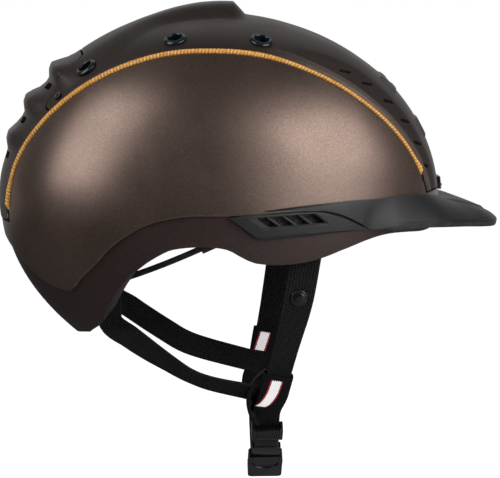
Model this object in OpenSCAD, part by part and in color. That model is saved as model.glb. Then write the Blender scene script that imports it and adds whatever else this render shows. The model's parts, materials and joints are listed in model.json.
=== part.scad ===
// Riding helmet: hard shells over an impact liner, a peak that pulls off, a dial-fitted head ring and a webbing harness.
// +X is the front, +Z is up, +Y is the wearer's left. The origin is the centre of the wearer's head.

/* [Shell] */
// Length of the shell without the peak
shell_l = 275; // [268:1:284]
// Width of the shell
shell_w = 214; // [208:1:222]
// Height of the crown over the head's centre
shell_h = 118; // [114:1:123]
// Thickness of the upper shell at its sides
shell_t = 3; // [2.4:0.1:3.4]
// Thickness of the thin parts of both shells
skin_t = 2; // [1.6:0.1:2.2]
// Thickness of the upper shell where it laps the lower shell
lap_t = 1; // [0.9:0.1:1.4]
// Thickness of the impact liner at the crown
liner_t = 19.8; // [17:0.2:22]
// Gap between parts that are clipped or bonded together
fit = 0.3; // [0.25:0.05:0.4]

/* [Crown cover] */
// Thickness of the cover that runs over the crown
cover_t = 3; // [2.6:0.1:3.2]
// Height of the scoop on top of the cover
scoop_h = 7.6; // [5:0.2:8]
// Depth of the two channels down the front of the cover
channel_d = 1.9; // [1:0.1:2]
// Outer diameter of the vent eyelets
eyelet_d = 14; // [12:0.5:15]
// Bore of the vent eyelets
eyelet_bore = 8.6; // [7:0.2:9]
// Length of each small slot in the channels
slot_l = 6.5; // [5:0.5:8]

/* [Cord] */
// Diameter of the ornamental cord beside the cover
cord_d = 3; // [2.6:0.1:3.2]

/* [Peak] */
// Reach of the peak in front of the shell
peak_reach = 37.5; // [30:0.5:42]
// Thickness of the peak
peak_t = 2.3; // [2:0.1:2.8]
// Thickness of each side vent panel
panel_t = 3; // [2.6:0.1:3.4]

/* [Lining] */
// Thickness of the pads against the head
pad_t = 5; // [4:0.5:6]

/* [Head ring] */
// How far inside the shell's widest line the two arms run
arm_inset = 32; // [31:0.1:33]
// Slope of the head ring, down towards the nape
ring_tilt = 23.8; // [22:0.2:26]
// Thickness of the arms
arm_t = 1.8; // [1.6:0.1:2]
// Height of the arms
arm_h = 3.5; // [3:0.1:4]
// Diameter of the fitting dial's knob
knob_d = 28; // [24:0.5:30]
// Height of the fitting dial's knob
knob_h = 7.5; // [6:0.5:8]
// Diameter of the dial's spindle
spindle_d = 4; // [3.6:0.1:4.4]
// Pitch radius of the dial's pinion
pinion_r = 4; // [4:0.5:4.5]
// Number of teeth on the pinion
pinion_teeth = 8; // [8:1:9]

/* [Harness] */
// Width of the webbing
web_w = 15; // [12:0.5:16]
// Thickness of the webbing
web_t = 1.3; // [1:0.1:1.5]
// Diameter of the press stud caps
snap_d = 10.6; // [9:0.2:12]

/* [Buckle] */
// Width of the buckle's socket half
buckle_w = 21.5; // [20:0.5:24]
// Length of the buckle's socket half
buckle_l = 21.5; // [21:0.5:24]
// Thickness of the buckle's socket half
buckle_t = 8; // [7.6:0.2:9]
// Wall of the buckle's socket half
buckle_wall = 1.3; // [1:0.1:1.5]

/* [Hidden] */

bronze = "#4a3b33";
dark_bronze = "#3b302b";
plum = "#43332f";
satin_black = "#22262a";
gloss_black = "#101214";
web_black = "#15161a";
foam_black = "#1c1c1e";
orange_gold = "#cf8a2b";
steel = "#9a9c9e";
grey_foam = "#2c2d30";

// The shell: a tapered ellipsoid, squarer than a true one across the head, drawn in below the head's centre
half_l = shell_l / 2;
half_w = shell_w / 2;
ring_r = half_w - arm_inset;
// The outlines seen from the side are drawn on this half length and stretch with the shell
drawn_l = 137.5;
side_power = 2.4;
front_taper = 0.05;
end_taper = 0.03;
rim_tuck = 0.15;

function egg(ux) = 1 - front_taper * ux - end_taper * ux * ux;
function tuck(uz) = 1 - rim_tuck * pow(min(uz, 0), 2);
function clamp(v, lo, hi) = max(lo, min(hi, v));
function ease(v) = let(t = clamp(v, 0, 1)) t * t * (3 - 2 * t);
function unit(v) = v / norm(v);
function mirror_y(p) = [p[0], -p[1], p[2]];

// The direction from the head's centre that shows at (x, z) in the drawn outlines, on the right half
function dir(x, z) = let(
    uz = clamp(z / shell_h, -1, 1),
    reach = sqrt(1 - uz * uz),
    ux = clamp(x / (drawn_l * tuck(uz)), -reach, reach)
) [ux, -sqrt(max(0, 1 - ux * ux - uz * uz)), uz];

// The point in direction u that lies at this offset from the shell's outer surface
function on(u, off = 0) = let(k = tuck(u[2])) [
    (half_l + off) * k * u[0],
    (half_w + off) * k * egg(u[0]) * sign(u[1]) * pow(abs(u[1]), 2 / side_power),
    (shell_h + off) * u[2]
];
function across(psi, beta) = [cos(beta) * cos(psi), sin(beta), cos(beta) * sin(psi)];
function slerp(a, b, t) = let(w = acos(clamp(a * b, -1, 1)))
    w < 0.01 ? a : (sin((1 - t) * w) * a + sin(t * w) * b) / sin(w);

// A smooth value at s, counted in list places, and a smooth value at key k of [key, value] pairs
function at(list, i) = list[clamp(i, 0, len(list) - 1)];
function along(list, s) = let(
    i = clamp(floor(s), 0, len(list) - 2), t = s - i,
    p0 = at(list, i - 1), p1 = list[i], p2 = list[i + 1], p3 = at(list, i + 2)
) p1 + 0.5 * t * (p2 - p0 + t * (2 * p0 - 5 * p1 + 4 * p2 - p3 + t * (3 * (p1 - p2) + p3 - p0)));
function place(pairs, k, i = 0) =
    i >= len(pairs) - 2 || k < pairs[i + 1][0] ? i : place(pairs, k, i + 1);
function keyed(pairs, k) = let(
    i = place(pairs, k), t = clamp((k - pairs[i][0]) / (pairs[i + 1][0] - pairs[i][0]), 0, 1)
) along([for (p = pairs) p[1]], i + t);

// A closed solid between two grids of points with the same rows and columns
module skin(outer, inner, ring = false) {
    rows = len(outer);
    cols = len(outer[0]);
    count = rows * cols;
    last = ring ? rows : rows - 1;
    function id(r, c, side) = side * count + (r % rows) * cols + c;
    faces = [
        for (r = [0:last - 1], c = [0:cols - 2]) each [
            [id(r, c, 0), id(r + 1, c, 0), id(r + 1, c + 1, 0)], [id(r, c, 0), id(r + 1, c + 1, 0), id(r, c + 1, 0)],
            [id(r, c, 1), id(r + 1, c + 1, 1), id(r + 1, c, 1)], [id(r, c, 1), id(r, c + 1, 1), id(r + 1, c + 1, 1)]
        ],
        for (r = [0:last - 1]) each [
            [id(r, 0, 0), id(r, 0, 1), id(r + 1, 0, 1)], [id(r, 0, 0), id(r + 1, 0, 1), id(r + 1, 0, 0)],
            [id(r, cols - 1, 0), id(r + 1, cols - 1, 1), id(r, cols - 1, 1)],
            [id(r, cols - 1, 0), id(r + 1, cols - 1, 0), id(r + 1, cols - 1, 1)]
        ],
        if (!ring) for (c = [0:cols - 2]) each [
            [id(0, c, 0), id(0, c + 1, 0), id(0, c + 1, 1)], [id(0, c, 0), id(0, c + 1, 1), id(0, c, 1)],
            [id(rows - 1, c, 0), id(rows - 1, c + 1, 1), id(rows - 1, c + 1, 0)],
            [id(rows - 1, c, 0), id(rows - 1, c, 1), id(rows - 1, c + 1, 1)]
        ]
    ];
    polyhedron(concat([for (row = outer) each row], [for (row = inner) each row]), faces);
}

// A closed tube or strip: the same closed section at each station
module sweep(sections) {
    n = len(sections[0]);
    last = len(sections) - 1;
    faces = [
        for (r = [0:last - 1], c = [0:n - 1]) each [
            [r * n + c, (r + 1) * n + (c + 1) % n, r * n + (c + 1) % n],
            [r * n + c, (r + 1) * n + c, (r + 1) * n + (c + 1) % n]
        ],
        [for (c = [0:n - 1]) c],
        [for (c = [n - 1:-1:0]) last * n + c]
    ];
    polyhedron([for (s = sections) each s], faces);
}
module both_sides() {
    children();
    mirror([0, 1, 0]) children();
}

// Places a cutter or ring with its axis square to the shell, seen from the side at (x, z) on the right half
function normal(u) = unit([
    u[0] / half_l, sign(u[1]) * pow(abs(u[1]), 2 - 2 / side_power) / half_w, u[2] / shell_h
]);
module on_shell(u, off = 0) {
    n = normal(u);
    translate(on(u, off)) rotate([0, acos(n[2]), atan2(n[1], n[0])]) children();
}

// The crown cover's edge: side angle, then half width, as the angle out from the middle
cord_line = [
    [-8, 20], [4, 23], [11, 24.6], [20, 27.5], [31, 30.6], [43, 33.3], [61, 34.9], [76, 34.7], [93, 34],
    [107, 31.8], [120, 29.8], [135, 26.9], [148, 23.6], [165, 18.7], [180, 17], [192, 16.5]
];
mm_per_degree = 0.99 * half_w * PI / 180;
groove = (cord_d / 2 + 0.35) / mm_per_degree;
function cord_beta(psi) = keyed(cord_line, psi);

// The seam between the upper and the lower shell: side angle of the cover's edge above it, then x and z
seam_start = -0.5;
seam_end = 194;
function corner(psi) = let(p = on(across(psi, cord_beta(psi) + groove))) [psi, p[0] * drawn_l / half_l, p[2]];
seam = [
    corner(seam_start), [6, 122, 0.5], [15, 108, 1.5], [30, 88, 3], [45, 68, 4], [60, 45, 3.5], [75, 21, 2.5],
    [90, -7, 2.6], [100, -21, 2.6], [110, -35, 0.7], [118, -46, -2.4], [126, -56, -7.4], [134, -68, -16.3],
    [141, -77, -26.7], [148, -87, -38], [152, -90.5, -43.5], [155, -94, -46.5], [159, -99, -46], [165, -107, -43.6],
    [173, -116, -37.8], [182, -122.5, -31.4], corner(seam_end)
];

// How far the lower shell reaches up inside the upper one
lap = 9;

// The recess for the cover in the upper shell
recess_front = 5;
recess_rear = 184;
seat_off = -(cover_t + fit + 0.1);
function in_recess(psi) = psi > recess_front && psi < recess_rear;
side_steps = [0.08, 0.32, 0.55, 0.78];
function side_cols(key) = let(
    psi = key[0], whole = acos(clamp(dir(key[1], key[2]) * mirror_y(across(psi, cord_beta(psi) + groove)), -1, 1)),
    first = clamp((lap + 4) / (whole * mm_per_degree + 0.01), 0.1, 0.6)
) concat([0, first], [for (t = side_steps) first + t * (1 - first)], [1]);
band_cols = [-1, -0.94, -0.66, -0.33, 0, 0.33, 0.66, 0.94, 1];
function side_dir(key, t) = let(psi = key[0])
    slerp(dir(key[1], key[2]), mirror_y(across(psi, cord_beta(psi) + groove)), t);
rear_arch = 0.42;
function band_psi(psi, v) = psi <= recess_rear + 0.2 ? psi
    : recess_rear + 0.2 + (psi - recess_rear - 0.2) * (rear_arch + (1 - rear_arch) * v * v);
function hoop(key, side_offs, band_off) = let(
    psi = key[0],
    cols = side_cols(key),
    right = [for (i = [0:len(cols) - 1]) on(side_dir(key, cols[i]), side_offs[i])],
    beta = cord_beta(psi) + groove
) concat(
    right,
    [for (v = band_cols) on(across(band_psi(psi, v), v * beta), band_off)],
    [for (i = [len(right) - 1:-1:0]) mirror_y(right[i])]
);
function seam_key(s) = along(seam, min(s, len(seam) - 1));
function side_at(i) = i < 2 ? -lap_t : -shell_t;
upper_keys = [
    for (s = [0:0.5:len(seam) - 1]) let(k = seam_key(s))
        if (abs(k[0] - recess_front) > 1.5 && abs(k[0] - recess_rear) > 1.5) k
];
function with_steps(keys, psi) = concat(
    [for (k = keys) if (k[0] < psi) k],
    [for (d = [-0.1, 0.1]) let(s = lookup(psi, [for (i = [0:len(seam) - 1]) [seam[i][0], i]]))
        let(k = seam_key(s)) [psi + d, k[1], k[2]]],
    [for (k = keys) if (k[0] > psi) k]
);
shell_keys = with_steps(with_steps(upper_keys, recess_front), recess_rear);
side_count = len(side_steps) + 3;
outer_side = [for (i = [1:side_count]) 0];
thin_side = [for (i = [1:side_count]) -lap_t];
inner_side = [for (i = [0:side_count - 1]) side_at(i)];
function near_end(psi) = psi < recess_front - 0.6 || psi > recess_rear + 0.6;

// Vent places: side angle and place across the cover, from -1 at its right edge to 1
eyelets = [[103.5, 0.79], [79.2, 0.8], [129.5, 0.73]];
front_vents = [[40, 17], [24, 14]];
slot_places = [56.5, 46, 36, 26.5, 18, 11];
slot_across = 0.79;
function cover_u(psi, v) = across(psi, v * (cord_beta(psi) - groove));
module vent_cutter(u, d, depth) {
    on_shell(u) translate([0, 0, -depth]) cylinder(d = d, h = depth + 12, $fn = 20);
}
module crown_vents(d, depth, front_grow = 0) {
    for (e = eyelets, side = [-1, 1]) vent_cutter(cover_u(e[0], side * e[1]), d, depth);
    for (v = front_vents) on_shell(across(v[0], 0)) hull() for (side = [-1, 1])
        translate([0, side * (v[1] - 3), -depth]) cylinder(d = 6.2 + front_grow, h = depth + 12, $fn = 16);
}

module upper_shell() {
    outer = [for (k = shell_keys) hoop(k, outer_side, in_recess(k[0]) ? seat_off : 0)];
    inner = [for (k = shell_keys) hoop(k, near_end(k[0]) ? thin_side : inner_side,
        near_end(k[0]) ? -lap_t : seat_off - skin_t)];
    color(bronze) difference() {
        skin(outer, inner);
        crown_vents(eyelet_bore + 1, 16);
        louvre_vents(12, 1);
    }
}

// The rim as x and z from the side, and how high the lower shell reaches inside the upper one above the seam
rim_points = [
    [126, -14.6], [112, -13], [100, -12], [88, -13.3], [70, -19.3], [56, -24.6], [43, -27.2], [29, -28.3],
    [16.6, -26.7], [9, -23], [1, -18.4], [-9, -16.5], [-21, -16.5], [-34, -18.4], [-43.6, -23.5],
    [-51.3, -29.3], [-59.6, -37.8], [-68, -50.6], [-73.5, -64], [-77.4, -71], [-83, -77]
];
rim_front = -13.5;
rim_rear = -83;
function turn(x, z) = let(u = dir(x, z)) atan2(-u[1], u[0]);
function around(points, front, rear) = concat(
    [[-20, front], [0, front]], [for (p = points) [turn(p[0], p[1]), p[1]]], [[180, rear], [200, rear]]
);
rim_keys = around(rim_points, rim_front, rim_rear);
lap_keys = around([for (i = [1:len(seam) - 2]) [seam[i][1], seam[i][2]]], 1, shell_h * sin(band_psi(seam_end, 0)));
lap_reach = [[0, 3.8], [28, 4.2], [40, lap], [140, lap], [160, 7], [180, 4]];
low_off = -(lap_t + fit + 0.5);
turns = [
    0, 10, 20, 28, 35, 42, 48, 54, 60, 66, 71, 76, 81, 86, 91, 96, 101, 106, 111, 115, 119, 123, 127, 130.5, 134,
    138, 142, 147, 153, 160, 170, 180
];
function from_turn(a, z) = let(uz = z / shell_h, s = sqrt(1 - uz * uz)) [s * cos(a), -s * sin(a), uz];
function low_dir(a, t) = let(low = keyed(rim_keys, a), high = lookup(a, lap_reach) + keyed(lap_keys, a))
    from_turn(a, low + t * (high - low));
function ring_of(half) = concat(half, [for (i = [len(half) - 2:-1:1]) [for (p = half[i]) mirror_y(p)]]);
module lower_shell() {
    steps = [0, 0.2, 0.45, 0.72, 1];
    outer = ring_of([for (a = turns) [for (t = steps) on(low_dir(a, t), low_off)]]);
    inner = ring_of([for (a = turns) [for (t = steps) on(low_dir(a, t), low_off - skin_t)]]);
    color(plum) difference() {
        skin(outer, inner, true);
        both_sides() for (i = [0:3]) panel_slot(i, 14, 0.6);
    }
}

// The scoop and the louvres: side angle, then height over the shell along the middle
spine_line = [
    [5, 0], [40, 0], [50, -0.5], [70, -0.5], [82, 0], [83.4, 0.3], [86.6, scoop_h], [90, scoop_h], [95, scoop_h - 0.4],
    [100, scoop_h - 1.3], [107, 4.8], [113, 4], [120, 3.6], [128, 3.4], [130, 3.6], [132.2, 4.6], [134.2, 6.6],
    [136.2, 8.6], [137.6, 7], [139.4, 3], [141.2, 2.2], [143.4, 3], [145.4, 5.4], [147.2, 7.1], [148.8, 6], [151.2, 1.8],
    [153.4, 1.6], [155.8, 2.8], [158.4, 5.2], [160.2, 4.6], [163, 1.4], [165, 1.3], [171, 1.6], [179, 1.2], [184, 0.4]
];
function seam_psi(v) = 128 + 18 * ease((abs(v) - 0.38) / 0.5);
function middle(v, inside, outside) = 1 - ease((abs(v) - inside) / (outside - inside));
function channel(psi, v) =
    channel_d * ease((74 - psi) / 20) * ease((abs(v) - 0.64) / 0.1) * ease((0.94 - abs(v)) / 0.06);
function spine_off(psi, v) = let(spread = ease((psi - 102) / 24))
    lookup(psi, spine_line) * middle(v, 0.12 + 0.26 * spread, 0.62 + 0.34 * spread)
    - channel(psi, v) - 0.5 * ease((abs(v) - 0.95) / 0.05);
cover_cols = [
    -1, -0.94, -0.88, -0.82, -0.74, -0.64, -0.52, -0.38, -0.2, 0, 0.2, 0.38, 0.52, 0.64, 0.74, 0.82, 0.88, 0.94, 1
];
cover_rows = [
    5.4, 12, 20, 28, 36, 44, 52, 60, 68, 76, 81, 83.4, 85, 86.6, 90, 95, 100, 107, 113, 119, 124, 128, 132, 136,
    140, 143, 146
];
seam_gap = 0.3;
module crown_cover() {
    function psi_at(row, v) = min(row, seam_psi(v) - seam_gap);
    outer = [for (r = cover_rows) [for (v = cover_cols) let(psi = psi_at(r, v))
        on(cover_u(psi, v), spine_off(psi, v))]];
    inner = [for (r = cover_rows) [for (v = cover_cols) on(cover_u(psi_at(r, v), v), -cover_t)]];
    color(dark_bronze) difference() {
        skin(outer, inner);
        crown_vents(eyelet_bore + 1, 12);
        for (e = eyelets, side = [-1, 1]) on_shell(cover_u(e[0], side * e[1]), spine_off(e[0], e[1]))
            cylinder(d = eyelet_d + 0.5, h = 6, $fn = 32);
        for (psi = slot_places, side = [-1, 1]) on_shell(cover_u(psi, side * slot_across), -8)
            rotate([0, 0, side * 25]) hull() for (e = [-1, 1]) translate([e * (slot_l / 2 - 1), 0, 0])
                cylinder(d = 2, h = 14, $fn = 8);
    }
}

louvre_end = recess_rear - 0.6;
louvre_rows = [
    127, 130, 132.2, 134.2, 136.2, 137.6, 139.4, 141.2, 143.4, 145.4, 147.2, 148.8, 151.2, 153.4, 155.8, 158.4, 160.2,
    163, 165, 171, 177, louvre_end
];
louvre_slots = [141, 153, 164.4];
louvre_screw = [141, 0.87];
module rear_louvre() {
    function psi_at(row, v) = max(row, seam_psi(v) + seam_gap);
    outer = [for (r = louvre_rows) [for (v = cover_cols) let(psi = psi_at(r, v))
        on(cover_u(psi, v), spine_off(psi, v))]];
    inner = [for (r = louvre_rows) [for (v = cover_cols) on(cover_u(psi_at(r, v), v), -cover_t)]];
    color(dark_bronze) difference() {
        skin(outer, inner);
        louvre_vents(9);
    }
}
module louvre_vents(depth, grow = 0) {
    for (psi = louvre_slots, v = [-0.42, 0, 0.42]) on_shell(cover_u(psi, v)) hull() for (e = [-1, 1])
        translate([0, e * 3.4, -depth]) cylinder(d = 2.8 + grow, h = depth + 6, $fn = 8);
}

module crown_eyelets() {
    color("#16282c") for (e = eyelets, side = [-1, 1]) on_shell(cover_u(e[0], side * e[1]), spine_off(e[0], e[1]))
        rotate_extrude($fn = 40) polygon([
            [eyelet_bore / 2 - 0.6, -cover_t], [eyelet_bore / 2 + 0.2, -cover_t], [eyelet_bore / 2 + 0.2, fit],
            [eyelet_d / 2, fit], [eyelet_d / 2 - 0.5, 1], [eyelet_bore / 2 + 0.8, 1.3], [eyelet_bore / 2 - 0.6, 0.4]
        ]);
}
module louvre_screws() {
    color(gloss_black) for (side = [-1, 1]) on_shell(cover_u(louvre_screw[0], side * louvre_screw[1]),
        spine_off(louvre_screw[0], louvre_screw[1])) difference() {
        translate([0, 0, fit + 0.2]) cylinder(d = 5, h = 0.9, $fn = 32);
        translate([0, 0, fit + 0.5]) cylinder(d = 2.4, h = 2, $fn = 24);
    }
}
module front_vent_lips() {
    color(gloss_black) for (v = front_vents) on_shell(across(v[0], 0)) difference() {
        hull() for (side = [-1, 1]) translate([0, side * (v[1] - 3), -2]) cylinder(d = 5.6, h = 2.5, $fn = 24);
        hull() for (side = [-1, 1]) translate([0, side * (v[1] - 3), -3]) cylinder(d = 3.6, h = 5, $fn = 24);
    }
}

// The cord in its groove: side angle from the front hole over the top to the rear hole
cord_ends = [9.5, 182];
cord_steps = 40;
plug_d = cord_d - 0.1;
cord_sides = 8;
cord_off = seat_off + cord_d / 2 + 0.35 + 1;
function cord_point(psi) = on(across(psi, -cord_beta(psi)), cord_off);
module cord(side) {
    psis = [for (i = [0:cord_steps]) cord_ends[0] + 2.2 + (cord_ends[1] - cord_ends[0] - 4.4) * i / cord_steps];
    path = [for (p = psis) let(q = cord_point(p)) side < 0 ? q : mirror_y(q)];
    sections = [for (i = [0:cord_steps]) let(
        t = unit(path[min(i + 1, cord_steps)] - path[max(i - 1, 0)]),
        u = across(psis[i], side * cord_beta(psis[i])),
        n = unit(cross(cross(t, normal(u)), t)), w = cross(t, n)
    ) [for (k = [0:cord_sides - 1]) path[i] + cord_d / 2 * (cos(k * 45) * n + sin(k * 45) * w)]];
    color(orange_gold) sweep(sections);
}
module cord_right() { cord(-1); }
module cord_left() { cord(1); }
module cord_plugs() {
    color(gloss_black) for (side = [-1, 1], psi = cord_ends) on_shell(across(psi, side * cord_beta(psi)), -2.6)
        cylinder(d = plug_d, h = 3, $fn = 24);
}

// The side vent panels on the lower shell: x, then z of the lower and of the upper edge
panel_keys = [
    [2, 1.2, 1.9], [8, -3.8, 2.8], [14, -9, 3.4], [19, -12, 3.8], [30, -11.5, 4.1], [42, -10.8, 4.2], [55, -10.1, 3.8],
    [64, -9.6, 2.6], [72, -9.2, -0.3], [79, -8.9, -5.2], [85, -8.8, -8]
];
module panel_slot(i, depth, grow = 0) {
    x = 22.5 + i * 9.6;
    z = -2.6 + i * 0.9;
    on_shell(dir(x, z), -depth) {
        for (pass = [0, 1]) hull() for (e = [-1, 1], f = [-1, 1])
            translate([-e * 2.1 + f * 1.2, f * 2.3 - e * 1.1, pass * (depth - 0.4)])
                cylinder(d = 1 + grow + pass * 0.8, h = pass ? 5 : depth + 4, $fn = 6);
    }
}
module vent_panel() {
    rows = [for (s = [len(panel_keys) - 1:-0.5:0]) along(panel_keys, s)];
    cols = [0, 0.12, 0.35, 0.65, 0.88, 1];
    function edge_off(t) = t < 0.05 ? 0.2 : t > 0.95 ? 1 : low_off + fit + panel_t;
    outer = [for (k = rows) [for (t = cols) on(dir(k[0], k[1] + t * (k[2] - k[1])), edge_off(t))]];
    inner = [for (k = rows) [for (t = cols) on(dir(k[0], k[1] + t * (k[2] - k[1])), t > 0.5 ? fit : low_off + fit)]];
    color(satin_black) difference() {
        skin(outer, inner);
        for (i = [0:3]) panel_slot(i, 8);
    }
}
module vent_panel_right() { vent_panel(); }
module vent_panel_left() { mirror([0, 1, 0]) vent_panel(); }

// The peak: its upper edge on the shell, then its lower edge on the shell, as x and z from the side
wing_keys = [
    [22, 5.4, 23, 5.2], [38, 6.4, 39, 5.4], [54, 7, 55, 5], [66, 7.4, 65, 3.8], [76, 8, 74, 0.9], [84, 8.4, 81, -4.2],
    [92, 8.9, 88.5, -8.2]
];
// Its upper edge on the shell as x and z, then the free edge: reach before the shell, share of the half width and z
brim_keys = [
    [103, 9.6, -33.5, 0.743, -8.6], [113, 9.7, -17.5, 0.65, -9.6], [122, 9.2, -0.5, 0.533, -11],
    [129, 8, 0.36 * peak_reach, 0.393, -12.2], [134, 6.6, 0.68 * peak_reach, 0.252, -13],
    [136.6, 5.6, 0.893 * peak_reach, 0.126, -13.6], [200, 5, peak_reach, 0, -13.8]
];
peak_seat = fit + 0.3;
function peak_point(k, wing) = let(
    top = on(dir(k[0], k[1]), peak_seat + 1.6),
    top_in = on(dir(k[0], k[1]), peak_seat),
    edge = wing ? on(dir(k[2], k[3]), peak_seat + peak_t) : [half_l + k[2], -k[3] * half_w, k[4]],
    out = unit([edge[0] - half_l / 2, edge[1] * 1.2, 0]),
    edge_in = wing ? on(dir(k[2], k[3]), peak_seat) : edge - 1.2 * out - [0, 0, peak_t + 0.6]
) [top, edge, top_in, edge_in];
peak_keys = concat([for (k = wing_keys) peak_point(k, true)], [for (k = brim_keys) peak_point(k, false)]);
function bend(p, q, drop, t) = let(
    c = [p[0] + 0.93 * (q[0] - p[0]), p[1] + 0.93 * (q[1] - p[1]), p[2] + drop * (q[2] - p[2])]
) (1 - t) * (1 - t) * p + 2 * t * (1 - t) * c + t * t * q;
ridge_h = 1.4;
function ridge(p, t) = ridge_h * ease((19 - 10 * t - abs(p[1])) / 3) * ease(p[0] - half_l) * ease((0.95 - t) / 0.2);
module visor() {
    cols = [0, 0.12, 0.28, 0.46, 0.64, 0.82, 1];
    rows = [for (s = [0:0.5:len(peak_keys) - 1]) along(peak_keys, s)];
    outer = [for (k = rows) [for (t = cols) let(p = bend(k[0], k[1], 0.45, t)) p + [0, 0, ridge(p, t)]]];
    inner = [for (k = rows) [for (t = cols) bend(k[2], k[3], 0.5, t)]];
    color(satin_black) skin(ring_half(outer), ring_half(inner));
}
function ring_half(half) = concat(half, [for (i = [len(half) - 2:-1:0]) [for (p = half[i]) mirror_y(p)]]);
module at_latch() { on_shell(across(5.2, 0), fit) children(); }
module visor_latch() {
    color(gloss_black) at_latch() difference() {
        translate([-4.4, -7, 0]) cube([8, 14, 2.2]);
        translate([-0.2, -5, 1]) cube([2.4, 10, 2]);
    }
}
module latch_pin() {
    color(steel) at_latch() translate([1, -4.8, 2.1]) rotate([-90, 0, 0]) cylinder(d = 1.9, h = 9.6, $fn = 32);
}

// The liner: foam between the shells and the head, thinner towards the rim
liner_out_low = low_off - skin_t - fit - 0.5;
liner_out_top = seat_off - skin_t - fit - 1.2;
liner_thin = 14;
function liner_in(uz) = liner_out_top - liner_t + liner_thin * ease(-uz / 0.75);
crown_u = [0, -0.0001, 1];
module impact_liner() {
    low = [0, 0.3, 0.62, 0.995];
    high = [0, 0.1, 0.21, 0.33, 0.45, 0.58, 0.71, 0.85, 1];
    function row(a, outside) = concat(
        [for (t = low) let(u = low_dir(a, t)) on(u, outside ? liner_out_low : liner_in(u[2]))],
        [for (t = high) let(u = slerp(low_dir(a, 1), crown_u, t)) on(u, outside ? liner_out_top : liner_in(u[2]))]
    );
    rows = [0, 12, 24, 35, 45, 54, 63, 71, 79, 87, 96, 106, 115, 123, 130.5, 138, 147, 158, 169, 180];
    color(foam_black) difference() {
        skin(ring_of([for (a = rows) row(a, true)]), ring_of([for (a = rows) row(a, false)]), true);
        crown_vents(eyelet_bore + 2, 50, 2);
        louvre_vents(50, 2);
        in_ring() translate([-ring_r - 46, -24, -60]) cube([43, 48, 78]);
        both_sides() {
            in_ring() band_room();
            strap_room(front_path, facing(front_path));
            strap_room(rear_line, rear_faces);
        }
    }
}

// Pads: patches on the liner's inner side between two side angles and two heights
pad_gap = 1.6;
module head_pad(from, to, low, high, steps = 12) {
    function u(turn, rise) = [cos(rise) * cos(turn), cos(rise) * sin(turn), sin(rise)];
    function edge(t) = sin(180 * clamp(t, 0.02, 0.98));
    rises = [0, 0.2, 0.5, 0.8, 1];
    outer = [for (i = [0:steps]) [for (r = rises) let(d = u(from + (to - from) * i / steps, low + (high - low) * r))
        on(d, liner_in(d[2]) - pad_gap)]];
    inner = [for (i = [0:steps]) [for (r = rises) let(d = u(from + (to - from) * i / steps, low + (high - low) * r))
        on(d, liner_in(d[2]) - pad_gap - 1 - (pad_t - 1) * pow(edge(r) * edge(i / steps), 0.4))]];
    color(grey_foam) skin(inner, outer);
}
module brow_pad() { head_pad(-48, 48, -2, 15); }
module crown_pad() { head_pad(15, 345, 58, 76, 20); }
module side_pad_right() { head_pad(-150, -66, 8, 30); }
module side_pad_left() { head_pad(66, 150, 8, 30); }
module back_pad() { head_pad(160, 200, 3, 27, 8); }

// The head ring, in its own frame: centred on its arc, with the nape at -X
nape = [53.5 - half_l, 0, -51];
ring_centre = nape + ring_r * [cos(ring_tilt), 0, sin(ring_tilt)];
module in_ring() { translate(ring_centre) rotate([0, -ring_tilt, 0]) children(); }
// A strip of the arc, from turn to turn in degrees from the nape towards the right
module arc(from, to, r0, r1, z0, z1) {
    rotate([0, 0, 180 + from]) rotate_extrude(angle = to - from, $fn = 180)
        translate([r0, z0]) square([r1 - r0, z1 - z0]);
}
arm_in = ring_r;
arm_out = ring_r + arm_t;
housing_turn = 19;
dial_range = 150;
dial_travel = dial_range * PI / 180 * pinion_r;
travel_turn = dial_travel / (ring_r + arm_t / 2) * 180 / PI;
jog_turn = housing_turn + travel_turn + 2;
arm_end = 90 + travel_turn / 2;
tooth_pitch = 2 * PI * pinion_r / pinion_teeth;
pitch_turn = tooth_pitch / (ring_r + arm_t / 2) * 180 / PI;
rack_low = pinion_r + 1.2;
rack_high = rack_low + arm_h - 0.5;
module rack_arm() {
    difference() {
        arc(-4, arm_end, arm_in, arm_out, -arm_h / 2, rack_high);
        arc(-6, jog_turn, arm_in - 1, arm_out + 1, -arm_h, rack_low);
        arc(jog_turn + 6, arm_end + 2, arm_in - 1, arm_out + 1, arm_h / 2, rack_high + 1);
    }
    for (i = [-1:7]) rotate([0, 0, 180 + (i + 0.5) * pitch_turn])
        translate([arm_in + 0.1, 0, rack_low + 0.3]) rotate([90, 0, 90]) linear_extrude(arm_t - 0.2)
            polygon([[-1, 0], [1, 0], [0.35, -2.15], [-0.35, -2.15]]);
}
module rack_right() { color(satin_black) in_ring() mirror([0, 0, 1]) rack_arm(); }
module rack_left() { color(satin_black) in_ring() mirror([0, 1, 0]) rack_arm(); }

// Side bands: fixed to the liner by a stud, each holding the front end of an arm in a loop
band_in = arm_out + 0.4;
band_out = band_in + 1.5;
loop_l = 5;
loop_play = 0.9;
band_half = arm_h / 2 + 0.4;
stud_x = 28;
module side_band() {
    in_ring() {
        difference() {
            translate([0.8, -band_out, -band_half - 1])
                cube([loop_l, band_out - arm_in + loop_play + 1, 2 * band_half + 2]);
            translate([0, -band_in, -band_half]) cube([loop_l + 2, band_in - arm_in + loop_play, 2 * band_half]);
        }
        translate([5.6, -band_out, -band_half - 1]) cube([stud_x - 9, band_out - band_in, 2 * band_half + 2]);
        translate([stud_x, -band_out, 0]) rotate([-90, 0, 0]) difference() {
            cylinder(d = 12, h = band_out - band_in, $fn = 40);
            translate([0, 0, -1]) cylinder(d = stud_d + 0.3, h = 4, $fn = 32);
        }
    }
}
stud_d = 3.4;
stud_l = 8.6;
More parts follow.
